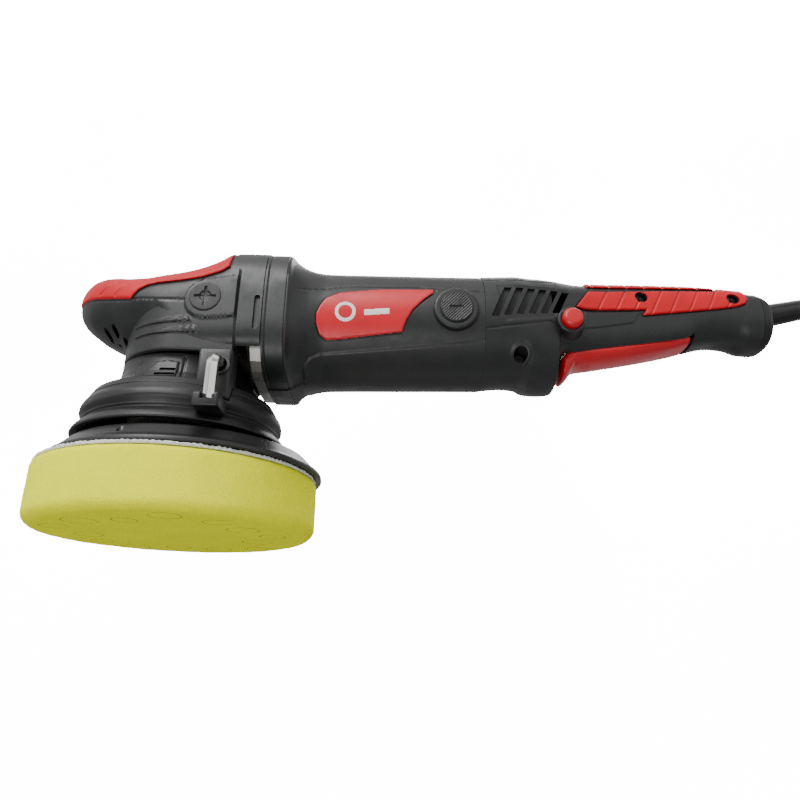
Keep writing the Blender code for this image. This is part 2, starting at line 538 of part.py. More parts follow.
def barrel_parts():
    body = shell("motor_housing", BARREL, 3.2, CHARCOAL, (-1.0, 1.0))
    seat = loft("bearing_wall", [(61, 43, 38.8, -41.5, -2, 3.3, 3.5), (66, 38.5, 36, -38, -1, 2.6, 2.7)],
                count=24, cutter=True)
    boolean(body, seat, "UNION")
    boolean(body, rod("bearing_wall_hole", 24, 50, 70, place=(0, 0, AXIS_Z), along="X", cutter=True))
    for side in (-1, 1):
        tag = "left" if side < 0 else "right"
        along = "-Y" if side < 0 else "Y"
        at = (BRUSH_X, 0, AXIS_Z - 0.4)
        boss = turned("brush_boss_" + tag, [(0, 38.4), (12.4, 38.4), (13.6, 37), (13.6, 30), (0, 30)],
                      place=at, along=along, cutter=True, steps=32)
        boolean(body, boss, "UNION")
        boolean(body, rod("brush_hole_" + tag, 8.0, 28, 60, place=at, along=along, cutter=True, steps=24))
        cap = turned("brush_cap_" + tag, [(0, 40), (9.2, 40), (9.8, 39.4), (9.8, 38.7), (7.7, 38.7),
                                          (7.7, 33.4), (0, 33.4)], CHARCOAL, at, along, 32)
        y0, y1 = sorted((side * 39.2, side * 45))
        boolean(cap, box("cap_slot_" + tag, (BRUSH_X - 7, y0, AXIS_Z - 1.3), (BRUSH_X + 7, y1, AXIS_Z + 0.5),
                         cutter=True))
        lo, hi = sorted((side * 14.2, side * 29.6))
        holder = box("brush_holder_" + tag, (BRUSH_X - 5.5, lo, AXIS_Z - 7),
                     (BRUSH_X + 5.5, hi, AXIS_Z + 6.2), BRASS)
        boolean(holder, box("holder_way_" + tag, (BRUSH_X - 4.3, -40, AXIS_Z - 5.8),
                            (BRUSH_X + 4.3, 40, AXIS_Z + 5), cutter=True))
        lo, hi = sorted((side * 13.4, side * 30))
        box("carbon_brush_" + tag, (BRUSH_X - 4, lo, AXIS_Z - 5.5), (BRUSH_X + 4, hi, AXIS_Z + 4.7), CARBON)
        skin("label_" + tag, BARREL, label_outline(), GAP, 0.5, side, RED)


# ---- rear housing, handle and switch gear ----
def handle_parts():
    z = AXIS_Z
    posts = [rod("screw_post_%d" % n, r + 2.0, GAP, 60, place=(x, 0, z + h), along="-Y", cutter=True,
                 steps=12)
             for n, (x, h, r, depth) in enumerate(HANDLE_SCREWS)]
    body = shell("handle_shell", REAR, 2.8, CHARCOAL, (-1.0, 1.0), posts, step=BULGE_END)
    trigger_way = box("trigger_way", (225.9, -14.4, 80), (313.4, 14.4, z + 0.5), cutter=True)
    boolean(body, trigger_way)
    for k in range(6):
        x = 190.5 + 6.2 * k
        low, high = (z - 2, z + 16)
        outline = [(x + 2.6, low), (x + 5.6, low), (x + 1.6 + 0.8, high), (x - 0.6, high)]
        boolean(body, prism("louvre_%d" % k, outline, -60, 60))
    boolean(body, rod("dial_room", DIAL_R + 0.7, -5, 5, place=(DIAL_X, 0, z + 27), along="Y", cutter=True))
    at = (BUTTON_X, 0, BUTTON_Z)
    boolean(body, turned("button_cup", [(0, 31), (8.6, 31), (9.6, 18), (0, 18)], place=at, along="-Y",
                         cutter=True, steps=20), "UNION")
    boolean(body, rod("button_way", 6.8, 15, 60, place=at, along="-Y", cutter=True))
    for n, (x, h, r, depth) in enumerate(HANDLE_SCREWS):
        at = (x, 0, z + h)
        boolean(body, rod("screw_well_%d" % n, r, depth, 60, place=at, along="-Y", cutter=True, steps=12))
        boolean(body, rod("screw_hole_%d" % n, 1.9, -1, 60, place=at, along="-Y", cutter=True, steps=8))
        turned("handle_screw_%d" % (n + 1), [(0, depth + 2.3), (r - 0.5, depth + 2.3), (r - 0.5, depth + 0.3),
                                             (1.6, depth + 0.3), (1.6, 1), (0, 1)], STEEL, at, "-Y", 12)
    boolean(body, rod("sleeve_way", 9.4, 335, 380, place=(0, 0, RELIEF_Z - 0.5), along="X", cutter=True,
                      steps=24))
    settle(body)
    for side, tag in ((-1, "left"), (1, "right")):
        half = body.copy()
        half.data = body.data.copy()
        half.name = "handle_shell_" + tag
        half.data.name = half.name
        parts.objects.link(half)
        lo, hi = sorted((side * 0.15, -side * 90))
        boolean(half, box("half_%s" % tag, (170, lo, 60), (380, hi, 200), cutter=True), solver="MANIFOLD")
    bpy.data.objects.remove(body)
    grips()
    trigger()

    turned("lock_button", [(0, 36.2), (4.2, 36.2), (5.9, 35), (6.4, 33), (6.4, 17.5), (0, 17.5)], RED,
           (BUTTON_X, 0, BUTTON_Z), "-Y", 32)
    dial = turned("speed_dial", [(DIAL_R - 0.6, 3.6), (DIAL_R, 3.0), (DIAL_R, -3.0), (DIAL_R - 0.6, -3.6),
                                 (2.3, -3.6), (2.3, 3.6)], RUBBER, (DIAL_X, 0, z + 27), "Y", 28, closed=True)
    dial.data.shade_smooth()
    board = box("control_board", (197, -15, z + 2), (224, 15, z + 4), BOARD)
    boolean(board, box("control_parts", (200, -9, z + 3), (212, 9, z + 11), cutter=True), "UNION")
    box("switch_body", (246, -8, z + 4), (270, 8, z + 22), CHARCOAL, bevel=0.8)
    rod("trigger_pin", 1.5, -11, 11, STEEL, place=(TRIGGER_HINGE[0], 0, TRIGGER_HINGE[1]), along="Y",
        steps=16)


def grips():
    z = AXIS_Z
    side_panel = [(244.5, z + 22), (238.5, z + 10.2), (282, z + 10.3), (279.5, z + 6), (345, z + 13.6),
                  (348.5, z + 17), (348, z + 24.6), (325, z + 24.2), (300, z + 25), (262, z + 24.6)]
    for side, tag in ((-1, "left"), (1, "right")):
        grip = skin("grip_" + tag, REAR, side_panel, GAP, 1.1, side, RED)
        if side < 0:
            for n, (x, h, r, depth) in enumerate(HANDLE_SCREWS[1:]):
                boolean(grip, rod("grip_well_%d" % n, r, depth, 60, place=(x, 0, z + h), along="-Y",
                                  cutter=True, steps=12))
    crown = loft("grip_crown", grown(REAR, GAP + 1.1), RED)
    boolean(crown, loft("grip_crown_under", grown(REAR, GAP, (-1, 1)), cutter=True))
    region = box("grip_crown_region", (250, -12, z + 26), (330, 12, z + 50), cutter=True)
    settle(boolean(crown, region, "INTERSECT"))


def trigger():
    lever = loft("trigger", TRIGGER, RED, 32)
    boolean(lever, rod("trigger_bore", 1.85, -20, 20, place=(TRIGGER_HINGE[0], 0, TRIGGER_HINGE[1]),
                       along="Y", cutter=True, steps=16))


# ---- end of the handle, cord, coil and plug ----
CORD_ROUTE = [(CORD_EXIT_X + GAP, 0, CORD_EXIT_Z), (446, 0, 163.5), (460, 0, 163.2), (474, 0.2, 159.0),
              (486, 0.4, 150.8), (495, 0.6, 139.2), (501, 0.7, 125.5), (505, 0.8, 110), (508.5, 0.8, 94),
              (513, 0.6, 78), (520, 0.3, 62), (530, 0.1, 48.8), (542, 0.2, 40.6), (555, 2.4, 37.0),
              (566.6, 7.4, 36.4)]


def smooth(route, per_span):
    """Points on a Catmull-Rom curve through the route's points."""
    ends = [[2 * a - b for a, b in zip(route[0], route[1])]] + [list(p) for p in route]
    ends.append([2 * a - b for a, b in zip(route[-1], route[-2])])
    out = []
    for i in range(1, len(ends) - 2):
        p0, p1, p2, p3 = ends[i - 1:i + 3]
        for k in range(per_span):
            t = k / per_span
            out.append([0.5 * (2 * b + (c - a) * t + (2 * a - 5 * b + 4 * c - d) * t * t
                               + (3 * b - a - 3 * c + d) * t ** 3) for a, b, c, d in zip(p0, p1, p2, p3)])
    out.append(list(route[-1]))
    return out


def cord_parts():
    cap = loft("end_cap", END_CAP, RUBBER)
    boolean(cap, rod("cap_way", 9.4, 340, 380, place=(0, 0, RELIEF_Z + 0.4), along="X", cutter=True,
                     steps=24))
    rise = math.atan2(CORD_EXIT_Z - RELIEF_Z, CORD_EXIT_X - RELIEF_X)
    length = (CORD_EXIT_X - RELIEF_X) / math.cos(rise)
    relief = turned("strain_relief", [(0, length), (5.2, length), (6.7, length * 0.45), (7.6, 8), (7.6, 0),
                                      (0, 0)],
                    RUBBER, (RELIEF_X, 0, RELIEF_Z), steps=24)
    relief.rotation_euler = (0, math.pi / 2 - rise, 0)

    curve = bpy.data.curves.new("cord", "CURVE")
    curve.dimensions = "3D"
    curve.bevel_depth = CORD_D / 2 * MM
    curve.bevel_resolution = 2
    curve.use_fill_caps = True
    points = smooth(CORD_ROUTE, 3)
    spline = curve.splines.new("POLY")
    spline.points.add(len(points) - 1)
    for point, place in zip(spline.points, points):
        point.co = (*(Vector(place) * MM), 1.0)
    curve.materials.append(RUBBER)
    parts.objects.link(bpy.data.objects.new("cord", curve))

    r0 = COIL_MEAN_R - COIL_WIDE / 2 * CORD_D
    r1 = COIL_MEAN_R + COIL_WIDE / 2 * CORD_D
    top = COIL_HIGH * CORD_D
    turned("cord_coil", [(r1 - 2, top), (r1, top - 2), (r1, 2), (r1 - 2, 0), (r0 + 2, 0), (r0, 2),
                         (r0, top - 2), (r0 + 2, top)], RUBBER, (COIL_X, COIL_Y, 0), steps=32, closed=True)
    tie = [(13.6, top + 1.9), (-13.6, top + 1.9), (-13.6, 0), (13.6, 0)]
    bm = bmesh.new()
    face = bm.faces.new([bm.verts.new((a * MM, 0, b * MM)) for a, b in tie])
    made = bmesh.ops.extrude_face_region(bm, geom=[face])["geom"]
    bmesh.ops.translate(bm, vec=(0, 9 * MM, 0), verts=[v for v in made if isinstance(v, bmesh.types.BMVert)])
    strap = add("coil_tie", mesh_of("coil_tie", bm), RUBBER,
                (COIL_X + COIL_MEAN_R * math.cos(2.3), COIL_Y + COIL_MEAN_R * math.sin(2.3), 0), (0, 0, 2.3))
    room = turned("tie_room", [(r1 + GAP, top + GAP), (r1 + GAP, -1), (r0 - GAP, -1), (r0 - GAP, top + GAP)],
                  place=(COIL_X, COIL_Y, 0), steps=32, closed=True, cutter=True)
    boolean(strap, room)

    px, py, pz = COIL_X - (r1 - CORD_D / 2), COIL_Y - 37.5, 5.9
    lean = math.pi / 2 - PLUG_TILT
    body = turned("plug", [(0, 74), (15, 74), (18.5, 71), (18.5, 58), (14, 50), (9, 36), (6.6, 24),
                           (5.6, 0), (0, 0)],
                  RUBBER, (px, py, pz), steps=24)
    body.rotation_euler = (lean, 0, 0)
    for side in (-9.5, 9.5):
        pin = rod("plug_pin_%d" % side, 2.4, 70, 93, place=(px + side, py, pz), cutter=True, steps=12)
        pin.rotation_euler = (lean, 0, 0)
        boolean(body, pin, "UNION")


pad_parts()
drive_parts()
rotor_parts()
head_parts()
hex_key()
barrel_parts()
handle_parts()
cord_parts()
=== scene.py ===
"""Looks of the dual action polisher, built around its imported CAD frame.

Lengths are in millimetres and turned into metres by MM. Heights in the station tables and in the
outlines on the housing are over the motor axis; heights of turned pieces are over the pad's face.
+X runs back along the motor, and -Y is the side with the lock button.
"""
import math
import bmesh
import bpy
import numpy as np
from mathutils import Matrix, Vector


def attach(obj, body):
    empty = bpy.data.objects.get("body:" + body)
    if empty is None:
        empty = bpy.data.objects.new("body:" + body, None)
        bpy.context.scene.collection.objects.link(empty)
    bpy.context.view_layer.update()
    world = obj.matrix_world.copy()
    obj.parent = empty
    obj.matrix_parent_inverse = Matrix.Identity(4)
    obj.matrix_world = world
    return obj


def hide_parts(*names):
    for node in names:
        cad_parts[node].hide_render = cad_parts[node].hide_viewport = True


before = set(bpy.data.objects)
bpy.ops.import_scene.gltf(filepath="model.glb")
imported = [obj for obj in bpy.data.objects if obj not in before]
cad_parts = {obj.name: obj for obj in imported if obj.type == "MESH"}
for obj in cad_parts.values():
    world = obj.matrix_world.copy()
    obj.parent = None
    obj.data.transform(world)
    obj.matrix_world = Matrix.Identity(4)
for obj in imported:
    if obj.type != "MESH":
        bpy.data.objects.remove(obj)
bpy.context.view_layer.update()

MM = 0.001
AXIS = 130.0                              # height of the motor axis
FOAM_AT = (-2.4, 7.1, 0)                  # middle of the foam, stuck on a little off the plate's axis
PLATE_AT = (1.90, 7.25, 0)                # the eccentric axis that the plate and pad turn on
NECK_X = -2.5                             # the neck stands a little forward of the spindle
BRUSH_X, BRUSH_Z = 161.8, -0.4            # brush caps
BRUSH_AT = (BRUSH_X, 0, AXIS + BRUSH_Z)
PLUG_X = 15.0                             # side handle plugs, on the motor axis
BUTTON_AT = (232.0, 0, 126.6)             # lock button
DIAL_AT = (214.0, 0, AXIS + 27)           # speed wheel
HINGE_AT = (303.0, 0, AXIS - 3.0)         # the trigger's pin
KEY_AT, KEY_LEG_Y = (28.5, 0, 86.0), -61.5    # the key's short leg, and how far out its long one hangs
RELIEF_AT, CORD_EXIT = (358.0, 0, 145.2), (434.0, 0, 161.5)   # the strain relief's two ends
CORD_D = 8.0
COIL_X, COIL_Y, COIL_R = 541.0, 48.0, 48.0
CELL = 0.5                                # spacing of the points on the housings
GROOVE_PITCH = 11.5                       # of the finger grooves on the handle
SIDES = ((-1, "left", "-Y"), (1, "right", "Y"))   # sign of y, name and outward direction


def add(name, data):
    """A new object over a mesh, curve, camera or lamp, in the scene."""
    obj = bpy.data.objects.new(name, data)
    bpy.context.scene.collection.objects.link(obj)
    return obj


# ---- camera, stage and lights ----
def camera():
    """The photograph's view: from in front, below and a little to the right."""
    cam = add("camera", bpy.data.cameras.new("camera"))
    cam.data.sensor_width = 36.0
    cam.data.lens = 30.56
    cam.data.clip_start, cam.data.clip_end = 0.01, 20.0
    yaw, pitch, roll = (math.radians(a) for a in (-0.43, 20.33, -0.79))
    turn = (Matrix.Rotation(yaw, 4, "Z") @ Matrix.Rotation(pitch, 4, "X") @ Matrix.Rotation(roll, 4, "Y")
            @ Matrix.Rotation(math.pi / 2, 4, "X"))
    cam.matrix_world = Matrix.Translation((0.12637, -0.39638, -0.06228)) @ turn
    bpy.context.scene.camera = cam


def light(name, place, aim, size, power, colour=(1.0, 1.0, 1.0)):
    lamp = bpy.data.lights.new(name, "AREA")
    lamp.shape = "RECTANGLE"
    lamp.size, lamp.size_y = size
    lamp.energy = power
    lamp.color = colour
    obj = add(name, lamp)
    obj.location = place
    obj.rotation_euler = (Vector(aim) - Vector(place)).to_track_quat("-Z", "Y").to_euler()


def stage():
    """A pale floor that shows from above only, since the photograph looks up from under it."""
    mesh = bpy.data.meshes.new("floor")
    half = 3.0
    corners = [(-half, -half, 0), (half, -half, 0), (half, half, 0), (-half, half, 0)]
    mesh.from_pydata(corners, [], [(0, 1, 2, 3)])
    floor = add("floor", mesh)
    floor.location.z = -0.0004
    mat = bpy.data.materials.new("floor")
    mat.use_nodes = True
    tree = mat.node_tree
    shader = tree.nodes["Principled BSDF"]
    shader.inputs["Base Color"].default_value = (0.82, 0.82, 0.81, 1)
    shader.inputs["Roughness"].default_value = 0.85
    clear = tree.nodes.new("ShaderNodeBsdfTransparent")
    side = tree.nodes.new("ShaderNodeNewGeometry")
    mix = tree.nodes.new("ShaderNodeMixShader")
    tree.links.new(side.outputs["Backfacing"], mix.inputs[0])
    tree.links.new(shader.outputs[0], mix.inputs[1])
    tree.links.new(clear.outputs[0], mix.inputs[2])
    tree.links.new(mix.outputs[0], tree.nodes["Material Output"].inputs[0])
    mesh.materials.append(mat)
    floor.visible_diffuse = floor.visible_glossy = floor.visible_shadow = False

    world = bpy.data.worlds.new("studio")
    bpy.context.scene.world = world
    world.use_nodes = True
    back = world.node_tree.nodes["Background"]
    back.inputs[0].default_value = (1, 1, 1, 1)
    tree = world.node_tree
    way = tree.nodes.new("ShaderNodeTexCoord").outputs["Generated"]
    split = tree.nodes.new("ShaderNodeSeparateXYZ")
    tree.links.new(way, split.inputs[0])
    height = ramp(tree, split.outputs["Z"], -0.5, 0.8, 0.50, 1.35)
    bands = ramp(tree, noise(tree, way, 2.2, 1.0), 0.40, 0.60, 0.35, 1.15)
    seen = tree.nodes.new("ShaderNodeLightPath").outputs["Is Camera Ray"]
    # the background that the camera sees is far brighter than the light it gives
    strength = calculated(tree, "ADD", calculated(tree, "MULTIPLY", height, bands),
                          ramp(tree, seen, 0, 1, 0.0, 15.0))
    tree.links.new(strength, back.inputs[1])
    light("key", (-0.5, -1.1, 1.3), (0.15, 0, 0.1), (1.0, 0.8), 26)
    light("rim", (0.5, 0.9, 1.0), (0.15, 0, 0.12), (1.2, 0.5), 12)
    light("low", (-0.2, -0.9, -0.5), (0.05, 0, 0.05), (0.8, 0.5), 5)


# ---- materials ----
def new_node(tree, kind, **values):
    node = tree.nodes.new(kind)
    for key, value in values.items():
        if key in node.inputs:
            node.inputs[key].default_value = value
        else:
            setattr(node, key, value)
    return node


def calculated(tree, how, a, b):
    """A math node's result from two sockets."""
    node = new_node(tree, "ShaderNodeMath", operation=how)
    tree.links.new(a, node.inputs[0])
    tree.links.new(b, node.inputs[1])
    return node.outputs[0]


def noise(tree, place, scale, detail=3.0, rough=0.55):
    node = new_node(tree, "ShaderNodeTexNoise", Scale=scale, Detail=detail, Roughness=rough)
    tree.links.new(place, node.inputs["Vector"])
    return node.outputs["Fac"]


def ramp(tree, value, low, high, start=0.0, end=1.0):
    """value from low..high mapped to start..end and clamped."""
    node = tree.nodes.new("ShaderNodeMapRange")
    for name, v in (("From Min", low), ("From Max", high), ("To Min", start), ("To Max", end)):
        node.inputs[name].default_value = v
    tree.links.new(value, node.inputs["Value"])
    return node.outputs["Result"]


def mixed(tree, factor, a, b):
    """Colour a where factor is 0 and b where it is 1; each is a colour or a socket."""
    node = tree.nodes.new("ShaderNodeMix")
    node.data_type = "RGBA"
    tree.links.new(factor, node.inputs["Factor"])
    for name, c in (("A", a), ("B", b)):
        socket = [s for s in node.inputs if s.name == name and s.type == "RGBA"][0]
        if isinstance(c, tuple):
            socket.default_value = (*c, 1.0)
        else:
            tree.links.new(c, socket)
    return [s for s in node.outputs if s.type == "RGBA"][0]


def finish(name, colour, rough, metal=0.0, vary=0.12, patch=60.0, speck=0.0, wear=None, dust=None,
           grain=(2600.0, 0.25, 0.05), pebble=None, stretch=None, rough_vary=0.08, extra=None,
           **shader_values):
    """A moulded, cast or woven finish. colour varies in patches (patch per metre) by the part vary.
    grain and pebble are bumps: (scale per metre, strength, depth in mm). wear is a lighter colour on
    outer edges, dust a paler colour in speckles, stretch draws the grain out along an axis."""
    mat = bpy.data.materials.new(name)
    mat.use_nodes = True
    tree = mat.node_tree
    shader = tree.nodes["Principled BSDF"]
    place = tree.nodes.new("ShaderNodeTexCoord").outputs["Object"]
    fine = place
    if stretch:
        mapping = new_node(tree, "ShaderNodeMapping", Scale=stretch)
        tree.links.new(place, mapping.inputs["Vector"])
        fine = mapping.outputs[0]
    dark = tuple(c * (1 - vary) for c in colour)
    lit = tuple(min(c * (1 + vary), 1.0) for c in colour)
    tone = mixed(tree, ramp(tree, noise(tree, place, patch), 0.35, 0.65), dark, lit)
    if speck:
        spots = ramp(tree, noise(tree, fine, grain[0] * 0.6, 2.0), 0.45, 0.75, 0.0, speck)
        tone = mixed(tree, spots, tone, tuple(min(c * 1.9 + 0.01, 1.0) for c in colour))
    if dust:
        haze = ramp(tree, noise(tree, place, 14.0, 6.0, 0.7), 0.5, 0.8, 0.0, 0.35)
        tone = mixed(tree, haze, tone, dust)
    if wear:
        edge = tree.nodes.new("ShaderNodeNewGeometry").outputs["Pointiness"]
        worn = ramp(tree, edge, 0.515, 0.56, 0.0, 0.8)
        tone = mixed(tree, worn, tone, wear)
    if extra:
        tone = extra(tree, place, tone)
    tree.links.new(tone, shader.inputs["Base Color"])
    tree.links.new(ramp(tree, noise(tree, place, patch * 1.7, 4.0), 0.3, 0.7, rough - rough_vary,
                        min(rough + rough_vary, 1.0)), shader.inputs["Roughness"])
    shader.inputs["Metallic"].default_value = metal
    bump = None
    for scale, strength, depth in (b for b in (pebble, grain) if b):
        node = new_node(tree, "ShaderNodeBump", Strength=strength, Distance=depth * MM)
        tree.links.new(noise(tree, fine, scale, 2.0), node.inputs["Height"])
        if bump:
            tree.links.new(bump.outputs[0], node.inputs["Normal"])
        bump = node
    tree.links.new(bump.outputs[0], shader.inputs["Normal"])
    for key, value in shader_values.items():
        shader.inputs[key.replace("_", " ")].default_value = value
    return mat


def rings_on_foam(tree, place, tone):
    """Faint round marks that the wrapping left on the foam's working face."""
    mask = None
    for k in range(14):
        a = 2 * math.pi * k / 14
        r = (58.0, 50.0, 64.0)[k % 3]
        away = new_node(tree, "ShaderNodeVectorMath", operation="DISTANCE")
        tree.links.new(place, away.inputs[0])
        away.inputs[1].default_value = ((FOAM_AT[0] + r * math.cos(a)) * MM,
                                        (FOAM_AT[1] + r * math.sin(a)) * MM, 0.0)
        near = new_node(tree, "ShaderNodeMath", operation="COMPARE")
        tree.links.new(away.outputs["Value"], near.inputs[0])
        near.inputs[1].default_value = (7.5, 9.0, 6.5, 8.0)[k % 4] * MM
        near.inputs[2].default_value = 0.4 * MM
        mask = calculated(tree, "MAXIMUM", mask, near.outputs[0]) if mask else near.outputs[0]
    patchy = ramp(tree, noise(tree, place, 110.0), 0.34, 0.5, 0.0, 0.8)
    return mixed(tree, calculated(tree, "MULTIPLY", mask, patchy), tone, (0.36, 0.36, 0.02))


PLASTIC = finish("charcoal_plastic", (0.0095, 0.0102, 0.0104), 0.44, vary=0.10, speck=0.35,
                 wear=(0.035, 0.035, 0.037), grain=(2400.0, 0.35, 0.06), pebble=(900.0, 0.10, 0.08))
FINE_PLASTIC = finish("fine_plastic", (0.0078, 0.0080, 0.0082), 0.40, vary=0.10, speck=0.2,
                      wear=(0.03, 0.03, 0.032), grain=(3200.0, 0.2, 0.04))
RUBBER = finish("black_rubber", (0.0055, 0.0055, 0.006), 0.46, vary=0.25, patch=45.0, speck=0.15,
                dust=(0.018, 0.018, 0.020), grain=(1800.0, 0.3, 0.05), pebble=(420.0, 0.12, 0.12))
PLATE = finish("backing_plate", (0.0075, 0.0075, 0.008), 0.40, vary=0.2, patch=30.0, speck=0.2,
               wear=(0.025, 0.025, 0.026), dust=(0.016, 0.016, 0.017), grain=(2000.0, 0.25, 0.05))
CORD = finish("cord_rubber", (0.005, 0.005, 0.0055), 0.32, vary=0.2, patch=35.0, dust=(0.02, 0.02, 0.022),
              grain=(1500.0, 0.18, 0.05), Coat_Weight=0.15, Coat_Roughness=0.3)
RED_SOFT = finish("red_soft_grip", (0.56, 0.002, 0.010), 0.48, vary=0.07, patch=50.0, speck=0.10,
                  grain=(2600.0, 0.35, 0.05), pebble=(1000.0, 0.12, 0.06), Specular_IOR_Level=0.3)
RED_HARD = finish("red_plastic", (0.56, 0.002, 0.010), 0.34, vary=0.06, patch=45.0, grain=(2800.0, 0.2, 0.03),
                  Coat_Weight=0.1, Coat_Roughness=0.25)
LABEL = finish("red_label", (0.60, 0.004, 0.014), 0.38, vary=0.04, patch=80.0, grain=(2200.0, 0.12, 0.03))
WHITE_PRINT = finish("white_print", (0.82, 0.82, 0.80), 0.45, vary=0.03, patch=80.0,
                     grain=(2200.0, 0.1, 0.02))
FOAM = finish("yellow_foam", (0.93, 1.0, 0.0), 0.95, vary=0.06, patch=35.0, speck=0.5,
              grain=(1500.0, 1.0, 0.5), pebble=(520.0, 0.5, 0.5), rough_vary=0.04, extra=rings_on_foam,
              Specular_IOR_Level=0.08)
LOOP = finish("white_loop", (0.72, 0.72, 0.68), 0.95, vary=0.16, patch=600.0, speck=0.4,
              grain=(1600.0, 0.9, 0.4), pebble=(520.0, 0.8, 0.5), Sheen_Weight=0.4)
CASTING = finish("casting", (0.30, 0.29, 0.27), 0.46, 0.85, vary=0.14, patch=70.0, speck=0.2,
                 wear=(0.5, 0.49, 0.46), dust=(0.16, 0.155, 0.145), grain=(1500.0, 0.45, 0.08),
                 pebble=(380.0, 0.25, 0.15))
CHROME = finish("chrome_key", (0.80, 0.80, 0.78), 0.16, 1.0, vary=0.05, grain=(900.0, 0.12, 0.02),
                stretch=(1.0, 1.0, 0.05), rough_vary=0.07)
STEEL = finish("bearing_steel", (0.52, 0.52, 0.52), 0.26, 1.0, vary=0.08, grain=(1200.0, 0.15, 0.02))
SHAFT = finish("shaft_steel", (0.42, 0.41, 0.40), 0.34, 1.0, vary=0.1, wear=(0.6, 0.6, 0.6),
               grain=(1200.0, 0.2, 0.03), stretch=(0.1, 1.0, 1.0))
SCREW = finish("screw_steel", (0.05, 0.05, 0.052), 0.42, 0.8, vary=0.12, wear=(0.12, 0.12, 0.12))
COPPER = finish("copper", (0.62, 0.28, 0.16), 0.33, 1.0, vary=0.14, grain=(1400.0, 0.2, 0.03),
                stretch=(0.1, 1, 1))
BRASS = finish("brass", (0.62, 0.43, 0.17), 0.36, 1.0, vary=0.12, grain=(1400.0, 0.2, 0.03))
CARBON = finish("carbon", (0.028, 0.028, 0.03), 0.7, vary=0.2, speck=0.3, grain=(1700.0, 0.5, 0.05))
BOARD = finish("circuit_board", (0.02, 0.11, 0.045), 0.42, vary=0.2, patch=300.0, speck=0.2,
               grain=(1500.0, 0.3, 0.04))
INNER = finish("inner_plastic", (0.05, 0.05, 0.052), 0.5, vary=0.15, grain=(2200.0, 0.3, 0.04))


# ---- numbers and fields ----
def eased(table, xs):
    """A table's rows at xs, by monotone cubic curves, so that a step in it never overshoots."""
    table = np.array(table, float)
    x, y = table[:, 0], table[:, 1:]
    h = np.diff(x)[:, None]
    d = np.diff(y, axis=0) / h
    slope = np.zeros_like(y)
    before, after = 2 * h[1:] + h[:-1], h[1:] + 2 * h[:-1]
    same = d[1:] * d[:-1] > 1e-12
    left, right = np.where(same, d[:-1], 1), np.where(same, d[1:], 1)
    slope[1:-1] = np.where(same, (before + after) / (before / left + after / right), 0)
    slope[0], slope[-1] = d[0], d[-1]
    k = np.clip(np.searchsorted(x, xs, side="right") - 1, 0, len(x) - 2)
    s = ((xs - x[k]) / h[k, 0])[:, None]
    return ((2 * s ** 3 - 3 * s ** 2 + 1) * y[k] + (s ** 3 - 2 * s ** 2 + s) * h[k] * slope[k]
            + (3 * s ** 2 - 2 * s ** 3) * y[k + 1] + (s ** 3 - s ** 2) * h[k] * slope[k + 1])


def smoothed(t):
    t = np.clip(t, 0, 1)
    return t * t * (3 - 2 * t)


def away(x, z, points, closed=False):
    """Distance from each (x, z) to a line through points."""
    points = [np.array(p, float) for p in points]
    ends = list(zip(points, points[1:] + ([points[0]] if closed else [])))
    best = np.full(np.shape(x), 1e9)
    for a, b in ends:
        d = b - a
        t = np.clip(((x - a[0]) * d[0] + (z - a[1]) * d[1]) / max(d @ d, 1e-9), 0, 1)
        best = np.minimum(best, np.hypot(x - a[0] - t * d[0], z - a[1] - t * d[1]))
    return best


def inside(x, z, outline):
    """Distance to a closed outline, positive inside it."""
    crossed = np.zeros(np.shape(x), bool)
    for (ax, az), (bx, bz) in zip(outline, outline[1:] + outline[:1]):
        if az != bz:
            crossed ^= ((az > z) != (bz > z)) & (x < ax + (z - az) * (bx - ax) / (bz - az))
    return np.where(crossed, 1, -1) * away(x, z, outline, True)


def line(x, z, points, width, depth, closed=False):
    """A groove along a line, as a depth below the surface."""
    return -depth * smoothed((width / 2 - away(x, z, points, closed)) / 0.7 + 0.5)


def raised(x, z, outline, height, edge=0.7):
    """A plateau inside an outline, as a height over the surface."""
    return height * smoothed(inside(x, z, outline) / edge + 0.5)


def arc(cx, cz, r, start, end, steps):
    step = (end - start) / steps
    return [(cx + r * math.cos(math.radians(start + step * k)),
             cz + r * math.sin(math.radians(start + step * k)))
            for k in range(steps + 1)]


def soft(profile, radius, steps=4):
    """A profile with its corners rounded off."""
    points = [np.array(p, float) for p in profile]
    out = [points[0]]
    for a, b, c in zip(points, points[1:], points[2:]):
        u, v = a - b, c - b
        lu, lv = np.linalg.norm(u), np.linalg.norm(v)
        r = min(radius, 0.45 * lu, 0.45 * lv)
        p, q = b + u / lu * r, b + v / lv * r
        for k in range(steps + 1):
            t = k / steps
            out.append((1 - t) ** 2 * p + 2 * t * (1 - t) * b + t * t * q)
    return out + [points[-1]]


def span(side, near, far):
    """Two distances from the middle plane as y on one side, the lower first."""
    return sorted((side * near, side * far))


def dense(points, spacing):
    """Points along a line no further apart than spacing."""
    out = [np.array(points[0], float)]
    for a, b in zip(points, points[1:]):
        a, b = np.array(a, float), np.array(b, float)
        n = max(1, int(np.linalg.norm(b - a) / spacing))
        out += [a + (b - a) * (k + 1) / n for k in range(n)]
    return out


# ---- meshes ----
def outward(grid):
    """Normals of a grid whose first axis runs along a form and second round it."""
    along = np.gradient(grid, axis=0)
    across = np.roll(grid, -1, 1) - np.roll(grid, 1, 1)
    n = np.cross(across, along)
    return n / np.maximum(np.linalg.norm(n, axis=2, keepdims=True), 1e-9)


